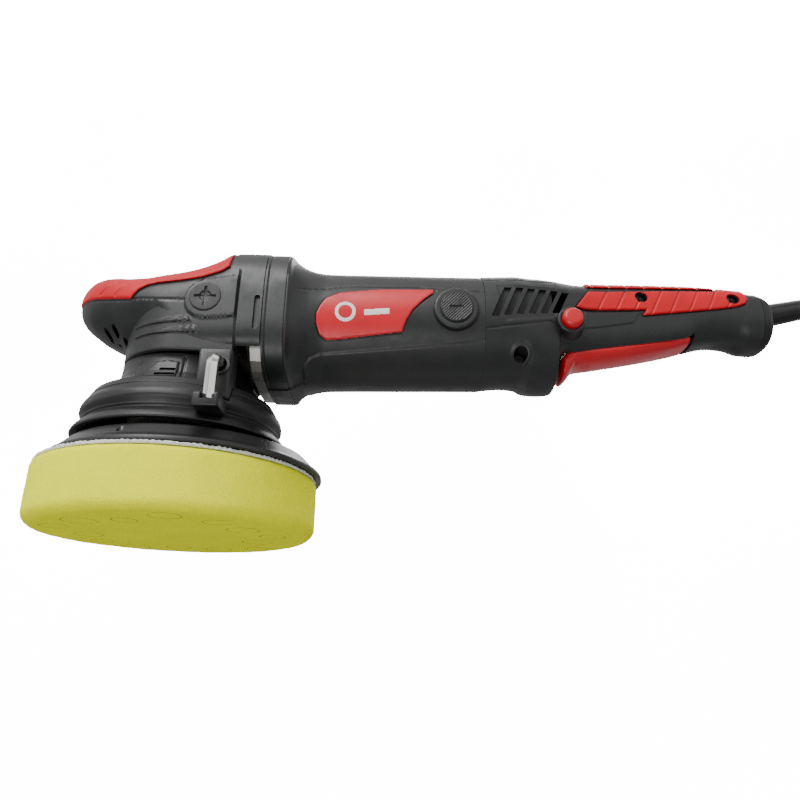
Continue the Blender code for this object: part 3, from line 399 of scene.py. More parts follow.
def solid(name, grid):
    """A closed mesh over a grid of rings in mm, with flat ends."""
    rows, count = grid.shape[:2]
    index = np.arange(rows * count).reshape(rows, count)
    a, d = index[:-1], index[1:]
    quads = np.stack([a, np.roll(a, -1, 1), np.roll(d, -1, 1), d], -1).reshape(-1, 4)
    mesh = bpy.data.meshes.new(name)
    ends = [index[0, ::-1].tolist(), index[-1].tolist()]
    mesh.from_pydata((grid.reshape(-1, 3) * MM).tolist(), [], quads.tolist() + ends)
    return add(name, mesh)


def from_bmesh(name, bm):
    mesh = bpy.data.meshes.new(name)
    bm.to_mesh(mesh)
    bm.free()
    return add(name, mesh)


def sections(stations, xs, count, grow=0.0):
    """Rings of a lofted form at xs, with count evenly spaced points each, in the frame's mm."""
    angle = np.linspace(0, 2 * np.pi, 721)
    c, s = np.cos(angle), np.sin(angle)
    grid = np.empty((len(xs), count, 3))
    for i, (x, row) in enumerate(zip(xs, eased(stations, xs))):
        half, top, bottom, middle, n_top, n_bottom = row
        n = np.where(s >= 0, n_top, n_bottom)
        y = np.copysign(np.abs(c) ** (2 / n), c) * max(half + grow, 0.3)
        z = np.copysign(np.abs(s) ** (2 / n), s) * np.where(s >= 0, top + grow - middle,
                                                            middle - bottom + grow)
        run = np.concatenate(([0], np.cumsum(np.hypot(np.diff(y), np.diff(z)))))
        at = np.linspace(0, run[-1], count, endpoint=False)
        grid[i] = np.stack([np.full(count, x), np.interp(at, run, y),
                            np.interp(at, run, z) + middle + AXIS], 1)
    return grid


def lofted(name, stations, spacing, count, grow=0.0, relief=None, ends=(0.0, 0.0)):
    """A lofted solid. relief(x, y, z) is how far a point stands out, with z over the motor axis, and ends
    moves the two end rings along X."""
    low, high = stations[0][0], stations[-1][0]
    xs = np.linspace(low, high, max(2, int((high - low) / spacing) + 1))
    grid = sections(stations, xs, count, grow)
    if relief:
        x, y, z = grid[..., 0], grid[..., 1], grid[..., 2] - AXIS
        grid = grid + outward(grid) * relief(x, y, z)[..., None]
    grid[0, :, 0] += ends[0]
    grid[-1, :, 0] += ends[1]
    return solid(name, grid)


TURNS = {"Z": Matrix(), "X": Matrix.Rotation(math.pi / 2, 4, "Y"),
         "Y": Matrix.Rotation(-math.pi / 2, 4, "X"), "-Y": Matrix.Rotation(math.pi / 2, 4, "X")}


def turned(name, profile, count=96, place=(0, 0, 0), along="Z", relief=None, spacing=None, corner=0.0):
    """A turned solid. profile is (radius, height) down the outer side, from the axis back to the axis, or a
    closed ring if it starts off the axis. relief(r, height, angle) is how far each point stands out."""
    points = soft(profile, corner) if corner else profile
    if spacing:
        points = dense(points, spacing)
    points = np.array(points, float)
    closed = points[0][0] > 0.01
    if closed:
        points = np.vstack([points, points[:1]])
    angle = np.linspace(0, 2 * np.pi, count, endpoint=False)
    r, h = np.maximum(points[:, 0], 0.02)[:, None], points[:, 1][:, None]
    # rings run down the profile and clockwise, which points the faces outwards
    grid = np.stack([r * np.cos(-angle), r * np.sin(-angle), np.broadcast_to(h, (len(points), count))], -1)
    if relief:
        tangent = np.gradient(points, axis=0)
        tangent /= np.maximum(np.linalg.norm(tangent, axis=1, keepdims=True), 1e-9)
        nr, nz = -tangent[:, 1][:, None], tangent[:, 0][:, None]
        lift = relief(r + 0 * angle, h + 0 * angle, (-angle % (2 * np.pi)) + 0 * r)
        grid[..., 0] += nr * np.cos(-angle) * lift
        grid[..., 1] += nr * np.sin(-angle) * lift
        grid[..., 2] += nz * lift
        if closed:
            grid[-1] = grid[0]
    turn = np.array(TURNS[along] if isinstance(along, str) else along)[:3, :3]
    obj = solid(name, grid @ turn.T + np.array(place, float))
    if closed:
        bm = bmesh.new()
        bm.from_mesh(obj.data)
        bmesh.ops.delete(bm, geom=[f for f in bm.faces if len(f.verts) > 4], context="FACES_ONLY")
        bmesh.ops.remove_doubles(bm, verts=bm.verts, dist=0.002 * MM)
        bm.to_mesh(obj.data)
        bm.free()
    return obj


def prism(name, outline, low, high, along="Y"):
    """An outline drawn out from low to high. Its points are (x, z over the motor axis), or (x, y) along Z."""
    bm = bmesh.new()
    if along == "Y":
        verts = [bm.verts.new((x * MM, low * MM, (z + AXIS) * MM)) for x, z in outline]
        step = (0, (high - low) * MM, 0)
    else:
        verts = [bm.verts.new((x * MM, y * MM, low * MM)) for x, y in outline]
        step = (0, 0, (high - low) * MM)
    made = bmesh.ops.extrude_face_region(bm, geom=[bm.faces.new(verts)])["geom"]
    bmesh.ops.translate(bm, vec=step, verts=[v for v in made if isinstance(v, bmesh.types.BMVert)])
    bmesh.ops.recalc_face_normals(bm, faces=bm.faces)
    return from_bmesh(name, bm)


def rod(name, r, low, high, place, along="Z", count=64):
    """A plain cylinder."""
    return turned(name, [(0, high), (r, high), (r, low), (0, low)], count, place, along)


def slot_cutter(name, x, z, wide, tall, lean, low, high):
    """A slot with round ends through a side wall, leaning by lean degrees."""
    r, up = wide / 2, tall / 2 - wide / 2
    c, s = math.cos(math.radians(lean)), math.sin(math.radians(lean))
    flat = arc(0, up, r, 0, 180, 8) + arc(0, -up, r, 180, 360, 8)
    return prism(name, [(x + a * c - b * s, z + a * s + b * c) for a, b in flat], low, high)


def block(name, low, high, bevel=0.0, segments=3):
    """A box with rounded edges, its corners in the frame's mm."""
    bm = bmesh.new()
    bmesh.ops.create_cube(bm, size=1.0)
    for v in bm.verts:
        v.co = Vector([(l + h) / 2 + c * (h - l) for l, h, c in zip(low, high, v.co)]) * MM
    if bevel:
        bmesh.ops.bevel(bm, geom=bm.edges[:], offset=bevel * MM, segments=segments, affect="EDGES",
                        profile=0.5)
    return from_bmesh(name, bm)


def cross_slot(x, z, reach, half, low, high, bevel=0.0):
    """Two crossed bars that cut a driver's slot, centred on (x, z over the motor axis)."""
    return [block("cut", (x - a, low, AXIS + z - b), (x + a, high, AXIS + z + b), bevel)
            for a, b in ((reach, half), (half, reach))]


def combine(obj, others, how="DIFFERENCE"):
    """Cut others out of obj, join them to it or keep what they share, and remove them."""
    for other in others:
        step = obj.modifiers.new("step", "BOOLEAN")
        step.operation = how
        step.solver = "MANIFOLD"
        step.object = other
    bpy.context.view_layer.update()
    mesh = bpy.data.meshes.new_from_object(obj.evaluated_get(bpy.context.evaluated_depsgraph_get()))
    obj.modifiers.clear()
    obj.data = mesh
    for other in others:
        bpy.data.objects.remove(other)
    return obj


def piece(obj, mat, body, slot, *nodes, sharp=50, name=None):
    """Give a finished piece its material, shading and body, and hide the CAD nodes it stands for. slot is not
    used.
    """
    obj.name = name or obj.name
    if obj.type == "MESH":
        obj.data.materials.clear()
        obj.data.materials.append(mat)
        obj.data.shade_smooth()
        obj.data.set_sharp_from_angle(angle=math.radians(sharp))
    else:
        obj.data.materials.append(mat)
    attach(obj, body)
    if nodes:
        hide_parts(*nodes)
    return obj


# ---- forms, as in the CAD ----
# each row: x, half width, top, bottom, height of the widest place, roundness above it and below it
HEAD = [
    (-73.0, 6, 12, 3, 7.5, 2.0, 2.0), (-72.2, 11, 16, 0, 7.8, 2.1, 2.1),
    (-70.2, 16, 19.5, -2.5, 8, 2.2, 2.2), (-66, 21.5, 23, -5.8, 8, 2.3, 2.2),
    (-60, 27, 25, -10, 8, 2.4, 2.2), (-52, 31.5, 25.6, -14.2, 7, 2.5, 2.1),
    (-44, 34.5, 25, -18.4, 5.5, 2.5, 1.9), (-37, 37, 24.3, -24, 3, 2.5, 1.7),
    (-28, 40, 24.2, -27, 0.5, 2.5, 1.45), (-15, 42.8, 25.8, -28.5, -1.5, 2.6, 1.4),
    (-3, 43.9, 27.8, -30, -2, 2.7, 4.0), (2, 44.1, 28.8, -33, -2, 2.8, 6.0),
    (12, 44.5, 32.6, -33, -2, 2.9, 6.0), (19, 44.7, 36.2, -33, -2, 3.0, 6.0),
    (25, 44.9, 40.4, -33, -2, 3.1, 6.0), (30, 45, 42.3, -33, -2, 3.3, 6.0),
    (48, 45, 42.3, -33, -2, 3.3, 6.0),
]
BARREL = [
    (48.3, 44.5, 42.2, -43, -2, 3.3, 3.5), (61.1, 44.5, 42.0, -43, -2, 3.3, 3.5),
    (64.5, 42.0, 40.2, -41.4, -1, 2.8, 2.9), (69, 39.8, 38.6, -39.8, 0, 2.4, 2.5),
    (75, 38.2, 37.6, -38.8, 0, 2.15, 2.2), (84, 37.3, 37.2, -38.2, 0, 2.0, 2.0),
    (130, 36.9, 37.0, -37.3, 0, 2.0, 2.0), (179.3, 36.6, 36.9, -36.5, 0, 2.0, 2.0),
]
REAR = [
    (179.6, 36.6, 36.9, -36.5, 0, 2.0, 2.0), (194, 35.8, 37.0, -35, 1, 2.1, 2.1),
    (202, 34.6, 36.8, -35.4, 2, 2.2, 2.3), (208, 33.2, 36.4, -38, 2, 2.2, 2.5),
    (218, 30.6, 35.6, -38.8, 4, 2.3, 2.6), (224.6, 28.6, 35.0, -38.2, 6, 2.3, 2.6),
    (225.6, 28.2, 34.9, -26, 7, 2.3, 3.0), (232, 24.8, 34.2, -19, 11, 2.3, 4.0),
    (240, 21.6, 33.6, -18.6, 13, 2.3, 4.0), (252, 19.4, 33.4, -17.4, 14, 2.3, 4.0),
    (270, 18.5, 33.7, -15.3, 14, 2.3, 4.0), (290, 18, 33.8, -12.6, 14, 2.3, 4.0),
    (307, 17.7, 33.6, -10.1, 14, 2.3, 3.8), (315, 17.6, 33.4, -7.8, 14, 2.3, 2.8),
    (330, 17.6, 32.4, -5.4, 13.5, 2.3, 2.4), (341, 18, 31.2, -6.6, 13, 2.3, 2.4),
    (348.5, 19, 30, -9.2, 12, 2.3, 2.4), (356.0, 19.6, 28.8, -9.8, 11, 2.3, 2.4),
]
END_CAP = [
    (356.3, 19.6, 28.6, -9.8, 11, 2.3, 2.4), (359.5, 19.4, 27.2, -9.4, 10, 2.3, 2.4),
    (362.0, 18.4, 25.4, -7.8, 9.5, 2.3, 2.4), (363.6, 15.5, 22.5, -4.5, 9.5, 2.3, 2.4),
]
TRIGGER = [
    (229.2, 11.0, -19.5, -31.6, -25, 3, 3), (230.4, 12.6, -17.5, -32.8, -25, 4, 2.6),
    (234, 13.6, -14, -29.8, -21, 5, 2.4), (238, 14, -11, -24.6, -17, 6, 2.3),
    (250, 14, -9.5, -22.2, -15, 6, 2.3), (270, 14, -7.5, -18.4, -12, 6, 2.3),
    (290, 13.8, -5, -14.2, -8.5, 6, 2.3), (304, 13.4, -2, -10.6, -6, 5, 2.4),
    (311, 12, -3.5, -8.4, -5.5, 4, 2.4),
]
NOSE_EDGE = [(-82, 7.5), (-62, 6.3), (-50, 4.1), (-30.5, 0.9), (-29.5, 3), (-26.5, 7), (-22, 9.8),
             (-16, 11.3), (-2, 12.6), (11, 14.6), (22, 18.6), (26.5, 22), (26.5, 60), (-82, 60)]
LABEL_EDGE = [(80.8, -0.9), (79, -5.8), (79, -11), (81, -17.5), (85, -20.2), (93, -19.7), (129.8, -15),
              (132, -8.5), (136, -1.5), (143, 6), (150, 12.3), (150, 13.2), (115, 12.2), (92.3, 9),
              (84.3, 4.9)]
GRIP_EDGE = [(237.8, 9.8), (247.2, 22.7), (294, 25.4), (330.5, 26.6), (333.6, 29.2), (333.6, 60), (346.4, 60),
             (347.6, 24), (348, 20), (346, 16.2), (341, 14.4), (331.7, 12.9), (280.3, 6.7), (283.1, 10.8),
             (242.7, 8.9)]
INLAY_EDGE = [(243.4, 7.4), (279.0, 9.3), (276.5, 5.6), (273.6, 1.5), (242.5, -4)]
SCREW_WELLS = [(200.9, -25.0, 4.2, 16.0), (280.5, 19.6, 4.0, 12.5), (338.9, 19.8, 4.0, 12.5)]
SPLIT_LINE = [(180, -12), (201.5, -8.5), (219, -4.1), (226, -5.6)]
JOINT_LINE = [(66, 10.0), (69, 10.1), (85, 12.6), (98, 15.4), (140, 15.6), (181, 13.0)]


# ---- gear head ----
def round_front(inset):
    """The cover's lower part seen from above: a half ellipse round the spindle, then straight back."""
    long, half, back = 41.0 - inset, 44.0 - inset, 33.0
    front = [(long * math.cos(a), half * math.sin(a))
             for a in (math.radians(90 + 2.5 * k) for k in range(73))]
    return [(back, half - 2.5)] + front + [(back, 2.5 - half)]


def upright(name, plan, heights, relief):
    """A solid that stands over a closed plan of (x, y). relief(x, y, z) moves its side outwards."""
    plan = np.array(dense(list(plan) + [plan[0]], CELL)[:-1])
    along = np.roll(plan, -1, 0) - np.roll(plan, 1, 0)
    out = np.stack([along[:, 1], -along[:, 0]], 1)
    out /= np.linalg.norm(out, axis=1, keepdims=True)
    rings = []
    for z in heights:
        lift = relief(plan[:, 0], plan[:, 1], np.full(len(plan), z))[:, None]
        rings.append(np.column_stack([plan + out * lift, np.full(len(plan), z + AXIS)]))
    return solid(name, np.array(rings))


def head_marks(x, y, z):
    """Bands, the boss round the plug, and the lines on the head cover's sides."""
    bands = [[(-27.4, -14), (-8.4, -13.3), (5.6, -12.4), (8.1, -15.1), (-8.1, -16.2), (-27, -16.5)],
             [(-26.5, -20.5), (-7.6, -20), (10.8, -18.9), (12.8, -21.9), (-7.3, -22.8), (-26.4, -22.7)]]
    boss = [(33, -12), (23.6, -13), (14.7, -13.5), (9.6, -12.2), (5.7, -9.4), (3.6, -5.5), (2.6, -0.5),
            (4, 5), (7.4, 9.2), (12, 11.6), (20, 12.8), (33, 15)]
    out = sum(raised(x, z, band, 1.0) for band in bands) + raised(x, z, boss, 1.3, 0.9)
    out += line(x, z, [(-29.2, 1), (-12.2, -0.8), (2.6, -1.5)], 0.9, 0.6)
    out += line(x, z, [(33.4, -31), (33.4, 19)], 1.0, 0.7)
    out += line(x, z, [(-74, 5.6)] + [(a, b - 0.9) for a, b in NOSE_EDGE[1:12]], 0.8, 0.4)
    return out * (np.abs(y) > 12)


def head_cover():
    wall = 2.6
    body = lofted("head_cover", HEAD, CELL, 300, relief=head_marks)
    low = np.arange(-33.0, -2.5, 0.5)

    def foot(x, y, z):
        edge = np.clip((z + 33.0) / 1.2, 0, 1)
        return head_marks(x, y, z) - 0.9 * (1 - np.sqrt(1 - (1 - edge) ** 2))

    combine(body, [upright("round", round_front(0), low, foot)], "UNION")
    hollow = lofted("hollow", HEAD, 2.0, 96, -wall, ends=(wall, 3.0))
    well = prism("well", round_front(wall), AXIS - 40, AXIS - 5.6, "Z")
    cuts = [hollow, well, block("flange_opening", (34.0, -40.8, 60), (50, 40.8, 106)),
            rod("plug_hole", 7.5, -60, 60, (PLUG_X, 0, AXIS), "Y")]
    for side in (-1, 1):
        y0, y1 = span(side, 9, 60)
        cuts.append(slot_cutter("side_slot", 45.0, -9.0, 3.4, 22.0, 0, *span(side, 43.2, 60)))
        for k in range(4):
            x, z = -50.4 + 6.5 * (k % 2) + 6.4 * (k // 2), -12 - 6.7 * (k // 2)
            cuts.append(slot_cutter("vent", x, z, 2.6, 6.4, 25, y0, y1))
    combine(body, cuts)
    piece(body, PLASTIC, "machine", "charcoal_plastic", "head_cover", sharp=40)


def skin(name, stations, outline, lift, thick, side, relief=None, count=280, roll=0.9):
    """A thin piece lying on a lofted form inside an outline, its edge rounded over. side 0 is both sides."""
    def shape(x, y, z):
        out = -0.8 * thick * (1 - np.sqrt(1 - (1 - np.clip(inside(x, z, outline) / roll, 0, 1)) ** 2))
        return out + (relief(x, y, z) if relief else 0)

    low, high = min(x for x, z in outline) - 3, max(x for x, z in outline) + 3
    xs = np.unique(np.clip(np.arange(low, high, 6.0), stations[0][0], stations[-1][0]))
    rows = {x: (x, *row) for x, row in zip(xs.tolist(), eased(stations, xs))}
    rows.update({s[0]: s for s in stations if low <= s[0] <= high})
    part = sorted(rows.values())
    outer = lofted(name, part, CELL, count, lift + thick, shape)
    under = lofted("under", part, CELL * 2, count // 2, lift, ends=(-1.0, 1.0))
    combine(outer, [under])
    reach = span(side, 0.2, 70.0) if side else (-70, 70)
    return combine(outer, [prism("region", outline, *reach)], "INTERSECT")


def head_grip():
    """The red soft insert over the nose, with finger grooves low on each side."""
    grooves = [[(-52.4, 6.5), (-49.7, 9.6), (-45.7, 13.5), (-42.2, 15.2)],
               [(-41.5, 4.4), (-39.4, 8), (-35.4, 11.4), (-30.2, 12.9)]]

    def marks(x, y, z):
        return sum(-0.7 * smoothed((0.7 - away(x, z, g)) / 0.8 + 0.4) for g in grooves) * (np.abs(y) > 8)

    piece(skin("head_grip", HEAD, NOSE_EDGE, 0.1, 1.3, 0, marks, 300, 1.6), RED_SOFT, "machine", "red_grip",
          "head_grip")


def side_plugs():
    profile = [(0, 45.9), (3.0, 45.9), (3.4, 46.6), (9.2, 46.6), (9.2, 45.2), (7.3, 45.2), (7.3, 37.2),
               (0, 37.2)]
    for side, tag, along in SIDES:
        body = turned("plug_" + tag, soft(profile, 0.5), 96, (PLUG_X, 0, AXIS), along, None, 0.8)
        combine(body, cross_slot(PLUG_X, 0, 6.4, 0.9, *span(side, 45.5, 50), 0.25))
        piece(body, RUBBER, "machine", "black_rubber", "side_plug_" + tag, name="round_plug_" + tag)


def neck():
    """The flared neck, with a vent frame in front and the block that holds the key's short leg."""
    frame_edge = [(-18, 74), (5.2, 74), (5.2, 90.5), (-1, 91.5), (-7, 90.5), (-12, 85.5)]

    def marks(r, h, a):
        x, y = r * np.cos(a), r * np.sin(a)
        front = (y < -20) & (r > 38.9) & (h > 73.5)
        out = raised(x, h, frame_edge, 0.9)
        out += line(x, h, [(8.4, 74), (8.4, 94)], 1.4, 0.7) + line(x, h, [(-24, 78), (-17, 92)], 1.0, 0.5)
        return out * front

    at = (NECK_X, 0, 0)
    body = turned("neck", [(39.2, 96.6), (39.2, 94), (39.6, 90), (40.6, 85), (42.8, 80.5), (48, 77),
                           (51.3, 75.2), (51.3, 73), (45, 73), (42, 77.5), (40.5, 80), (38.4, 84),
                           (37.4, 90), (37, 96.6)], 480, at,
                  relief=marks, spacing=0.5, corner=0.6)
    combine(body, [block("bracket", (16, -48, 66), (34.8, -33, 96.4), 1.6),
                   turned("ring", [(5.8, 49.0), (5.8, 44), (3.6, 44), (3.6, 49.0)], 64, KEY_AT,
                          "-Y", None, 0.6, 0.5)], "UNION")
    cuts = [turned("inside", [(0, 110), (37, 110), (37, 96.6), (37.4, 90), (38.4, 84), (40.5, 80),
                              (42, 77.5), (45, 72.8), (50, 60), (0, 60)], 180, at),
            rod("socket", 4.2, 36.2, 60, KEY_AT, "-Y", 48),
            block("flange_room", (41.0, -50, 85.5), (60, 50, 110))]
    for k in range(3):
        cuts.append(block("vent", (-12 + k * 2.4, -60, 78.2 + 3.4 * k), (2.2, -34, 79.8 + 3.4 * k), 0.5))
    combine(body, cuts)
    piece(body, FINE_PLASTIC, "machine", "charcoal_plastic", "neck_housing", name="neck")


def skirt_boot():
    """The soft bellows between the neck and the turning plate."""
    profile = [(51.7, 77), (53.1, 76.8), (55.6, 72.8), (55.4, 72.2), (58.4, 68), (59, 64), (56.6, 60.6),
               (57.6, 59.9), (56.2, 58.6), (60.8, 54.6), (62.4, 51.6), (62, 50.6), (59.4, 50.6),
               (53.2, 58.6), (55.2, 64), (54.4, 67.6), (51.7, 72.6)]

    def marks(r, h, a):
        return 0.12 * np.cos(a * 2 + h * 0.2) + 0.06 * np.sin(a * 5 + h)

    body = turned("boot", profile, 240, (NECK_X, 0, 0), relief=marks, spacing=0.6, corner=1.2)
    combine(body, [block("bracket_room", (15.6, -48.4, 65.6), (35.2, -33, 97.8))])
    piece(body, RUBBER, "machine", "black_rubber", "skirt_boot", name="boot")


def hex_key():
    """A 6 mm hex bar bent at a right angle, its edges a little rounded."""
    across, bend = 6.0, 6.5
    x, y, z = KEY_AT[0], KEY_LEG_Y, KEY_AT[2]
    path = [(-36.6, z), (-37.2, z)] + [(-38 - 1.5 * k, z) for k in range(12)]
    path += [(y + bend - bend * math.sin(math.radians(a)), z - bend + bend * math.cos(math.radians(a)))
             for a in range(0, 91, 5)]
    path += [(y, h) for h in np.arange(78, 60.6, -1.5)] + [(y, 60.4), (y, 59.9)]
    rings = []
    for i, (py, pz) in enumerate(path):
        before, after = path[max(i - 1, 0)], path[min(i + 1, len(path) - 1)]
        ty, tz = after[0] - before[0], after[1] - before[1]
        size = math.hypot(ty, tz)
        grow = 0.88 if i in (0, len(path) - 1) else 1.0
        loop = []
        for k in range(36):
            a = math.radians(10 * k)
            r = min(across / 2 / math.cos((a + math.pi / 6) % (math.pi / 3) - math.pi / 6), 3.36) * grow
            u, v = math.cos(a) * r, math.sin(a) * r
            loop.append((x + u, py + v * (-tz / size), pz + v * ty / size))
        rings.append(loop)
    piece(solid("key", np.array(rings)[:, ::-1]), CHROME, "hex_key", "chrome_key", "hex_key", sharp=25)


def key_clip():
    """The rubber clip on the boot that the key's long leg snaps into."""
    body = block("clip", (20.6, -66.0, 55.4), (34.8, -48.0, 63.6), 1.3, 4)
    room = block("room", (24.6, -72, 59.6), (32.4, -57.7, 70), 0.6)
    seat = turned("seat", [(0, 80), (53.7, 76.8), (58.8, 68), (59.4, 64), (56.6, 58.6), (61.2, 54.6),
                           (61.2, 40), (0, 40)],
                  180, (NECK_X, 0, 0))
    piece(combine(body, [room, seat]), RUBBER, "machine", "black_rubber", "key_clip", name="clip")


# ---- motor housing ----
def barrel_marks(x, y, z):
    side = np.abs(y) > 8
    panel = [(70.4, -44), (71.2, -34.6), (75.2, -29.8), (80.9, -27.1), (130, -23.2), (182, -18.5), (182, -44)]
    out = line(x, z, JOINT_LINE, 0.8, 0.5) + raised(x, z, panel, 0.7, 0.9) - 0.35
    out += line(x, z, LABEL_EDGE, 0.9, 0.35, True)
    return (out * side - 0.6 * smoothed(1 - np.abs(x - 61.4) / 0.7)
            - 0.4 * smoothed(1 - np.abs(x - 50.2) / 0.5) + 0.35 * ~side)


def motor_housing():
    body = lofted("housing", BARREL, CELL, 340, relief=barrel_marks)
    bosses = [turned("boss", [(0, 38.6), (12.6, 38.6), (13.6, 37.6), (13.6, 30), (0, 30)], 128,
                     BRUSH_AT, along, None, 0.8, 0.6) for along in ("Y", "-Y")]
    combine(body, bosses, "UNION")
    cuts = [lofted("hollow", BARREL, 3.0, 96, -3.2, ends=(-2.0, 2.0)),
            rod("brush_way", 8.0, -60, 60, BRUSH_AT, "Y")]
    combine(body, cuts)
    piece(body, PLASTIC, "machine", "charcoal_plastic", "motor_housing", name="barrel", sharp=40)
    for side, tag, along in SIDES:
        piece(skin("badge_" + tag, BARREL, LABEL_EDGE, 0.15, 0.7, side, roll=0.6), LABEL, "machine", "label",
              "label_" + tag)
        ring_out, ring_in = arc(96, -4, 6.2, 0, 360, 48)[:-1], arc(96, -4, 4.2, 0, 360, 48)[:-1]
        mark = skin("badge_print_" + tag, BARREL, ring_out, 0.75, 0.22, side, roll=0.1)
        combine(mark, [prism("ring_hole", ring_in, *span(side, 2.0, 70.0))])
        piece(mark, WHITE_PRINT, "machine", "label")
        bar = [(107, -6.2), (124, -4.9), (124, -1.3), (107, -2.6)]
        piece(skin("badge_bar_" + tag, BARREL, bar, 0.75, 0.22, side, roll=0.1), WHITE_PRINT, "machine",
              "label")
        brush_cap(side, tag, along)


def brush_cap(side, tag, along):
    def hatch(r, h, a):
        across = r * (np.cos(a) - np.sin(a)) / math.sqrt(2)
        bars = smoothed(0.5 + np.cos(2 * math.pi * across / 1.35) * 1.2)
        return -0.22 * smoothed((9.1 - r) / 0.3) * (h > 39) * bars

    body = turned("cap_" + tag, [(0, 40.0), (9.2, 40.0), (9.9, 39.3), (9.9, 38.7), (7.7, 38.7), (7.7, 33.4),
                                 (0, 33.4)],
                  300, BRUSH_AT, along, hatch, 0.25)
    y0, y1 = span(side, 38.9, 45)
    combine(body, [block("slot", (BRUSH_X - 4.2, y0, AXIS - 1.2), (BRUSH_X + 4.2, y1, AXIS + 0.4), 0.3)])
    piece(body, FINE_PLASTIC, "machine", "charcoal_plastic", "brush_cap_" + tag)


# ---- handle ----
def louvre(k):
    """One slanting air slot of the rear housing as a closed outline."""
    x, top = 201.9 + 7.4 * (k - 1), 17.6 + 0.25 * k
    foot_x, foot = x - 9.2 + 0.2 * k, -4.4 + 1.3 * k
    return [(x - 2.5, top), (foot_x - 2.5, foot), (foot_x + 2.0, foot - 0.2), (x + 2.1, top)]


def handle_marks(x, y, z):
    side = np.abs(y) > 7
    field = [(187.2, 18.8), (191.6, -6.8), (222.6, -0.6), (233.0, 20.2)]
    out = line(x, z, SPLIT_LINE, 0.9, 0.5) - raised(x, z, field, 0.7, 1.0)
    out += line(x, z, [(180, 24.6), (202.4, 25.0), (215.6, 25.6), (229, 28.6), (246, 29.2)], 0.9, 0.5)
    out += raised(x, z, INLAY_EDGE, 0.5, 0.8) + line(x, z, GRIP_EDGE, 1.2, 0.5, True)
    for wx, wz, r, depth in SCREW_WELLS:
        d = np.hypot(x - wx, z - wz)
        out += (0.5 * smoothed((r + 1.9 - d) / 0.6)) * (y < 0)
    return out * side


def handle():
    body = lofted("handle", REAR, CELL, 340, relief=handle_marks)
    cup = turned("cup", [(0, 31.4), (8.4, 31.4), (9.8, 18), (0, 18)], 96, BUTTON_AT, "-Y",
                 None, 0.8, 0.7)
    combine(body, [cup], "UNION")
    posts = [rod("post", r + 2.0, 0.3, 60, (x, 0, AXIS + h), "-Y") for x, h, r, depth in SCREW_WELLS]
    low, high = 224.6, 225.6
    # behind the louvres the wall is thicker, so that they end blind and no light shows through them
    inset = [(s[0] - 2.8 * (low <= s[0] <= high), s[1] - 6.0 * (s[0] <= low), *s[2:]) for s in REAR]
    hollow = combine(lofted("hollow", inset, 1.0, 96, -2.8, ends=(-2.0, 2.0)), posts)
    cuts = [hollow, block("trigger_way", (225.9, -14.4, 80), (313.4, 14.4, AXIS + 0.5)),
            turned("dial_room", [(0, 5), (13.7, 5), (13.7, -5), (0, -5)], 96, DIAL_AT, "Y"),
            rod("button_way", 6.8, 15, 60, BUTTON_AT, "-Y"),
            rod("sleeve_way", 9.4, 335, 380, (0, 0, 144.7), "X")]
    for k in range(6):
        deep = float(eased(REAR, np.array([190.0 + 7.4 * k]))[0, 0]) - 6.6
        cuts += [prism("louvre", louvre(k), *span(side, deep, 60)) for side in (-1, 1)]
    for x, h, r, depth in SCREW_WELLS:
        cuts += [rod("well", r, depth, 60, (x, 0, AXIS + h), "-Y", 48),
                 rod("hole", 1.9, -1, 60, (x, 0, AXIS + h), "-Y", 32)]
    combine(body, cuts)
    for side, tag, along in SIDES:
        half = body.copy()
        half.data = body.data.copy()
        bpy.context.scene.collection.objects.link(half)
        y0, y1 = span(side, 0.15, -90)
        combine(half, [block("half", (170, y0, 60), (380, y1, 200))])
        piece(half, PLASTIC, "machine", "charcoal_plastic", "handle_shell_" + tag, name="shell_" + tag,
              sharp=40)
        grip = skin("side_grip_" + tag, REAR, GRIP_EDGE, 0.1, 1.3, side, grip_grooves, 340, 1.1)
        if side < 0:
            combine(grip, [rod("well", r, depth, 60, (x, 0, AXIS + h), "-Y", 48)
                           for x, h, r, depth in SCREW_WELLS[1:]])
        piece(grip, RED_SOFT, "machine", "red_grip", "grip_" + tag)
    bpy.data.objects.remove(body)
    crown_edge = [(247.5, 27.3), (331.5, 29.2), (333, 60), (246.5, 60)]
    crown = skin("crown", REAR, crown_edge, 0.1, 1.3, 0, crown_notches, 300, 0.8)
    piece(crown, RED_SOFT, "machine", "red_grip", "grip_crown", name="top_grip")
    for n, (x, h, r, depth) in enumerate(SCREW_WELLS):
        screw(n + 1, x, h, r - 0.5, depth)
    trigger()
    controls()


def grip_grooves(x, y, z):
    """Slanting finger grooves, their tops towards the cord."""
    phase = (x - 0.5 * (z - 9) - 252.0) / GROOVE_PITCH
    near = np.abs(phase - np.round(phase)) * GROOVE_PITCH
    room = smoothed((x - 246) / 4) * smoothed((341 - x) / 6)
    return -0.75 * smoothed((0.55 - near) / 0.7 + 0.4) * room


def crown_notches(x, y, z):
    phase = (x - 250.5) / GROOVE_PITCH
    near = np.abs(phase - np.round(phase)) * GROOVE_PITCH
    return -0.7 * smoothed((0.9 - near) / 0.8 + 0.4)


def screw(number, x, h, r, depth):
    body = turned("cross_screw", [(0, depth + 2.3), (r - 0.7, depth + 2.3), (r, depth + 1.6),
                                  (r, depth + 0.3), (1.6, depth + 0.3), (1.6, 1), (0, 1)], 64,
                  (x, 0, AXIS + h), "-Y", None, 0.8)
    combine(body, cross_slot(x, h, 2.2, 0.45, -(depth + 4), -(depth + 0.9)))
    piece(body, SCREW, "machine", "screw_steel", "handle_screw_%d" % number,
          name="cross_screw_%d" % number)


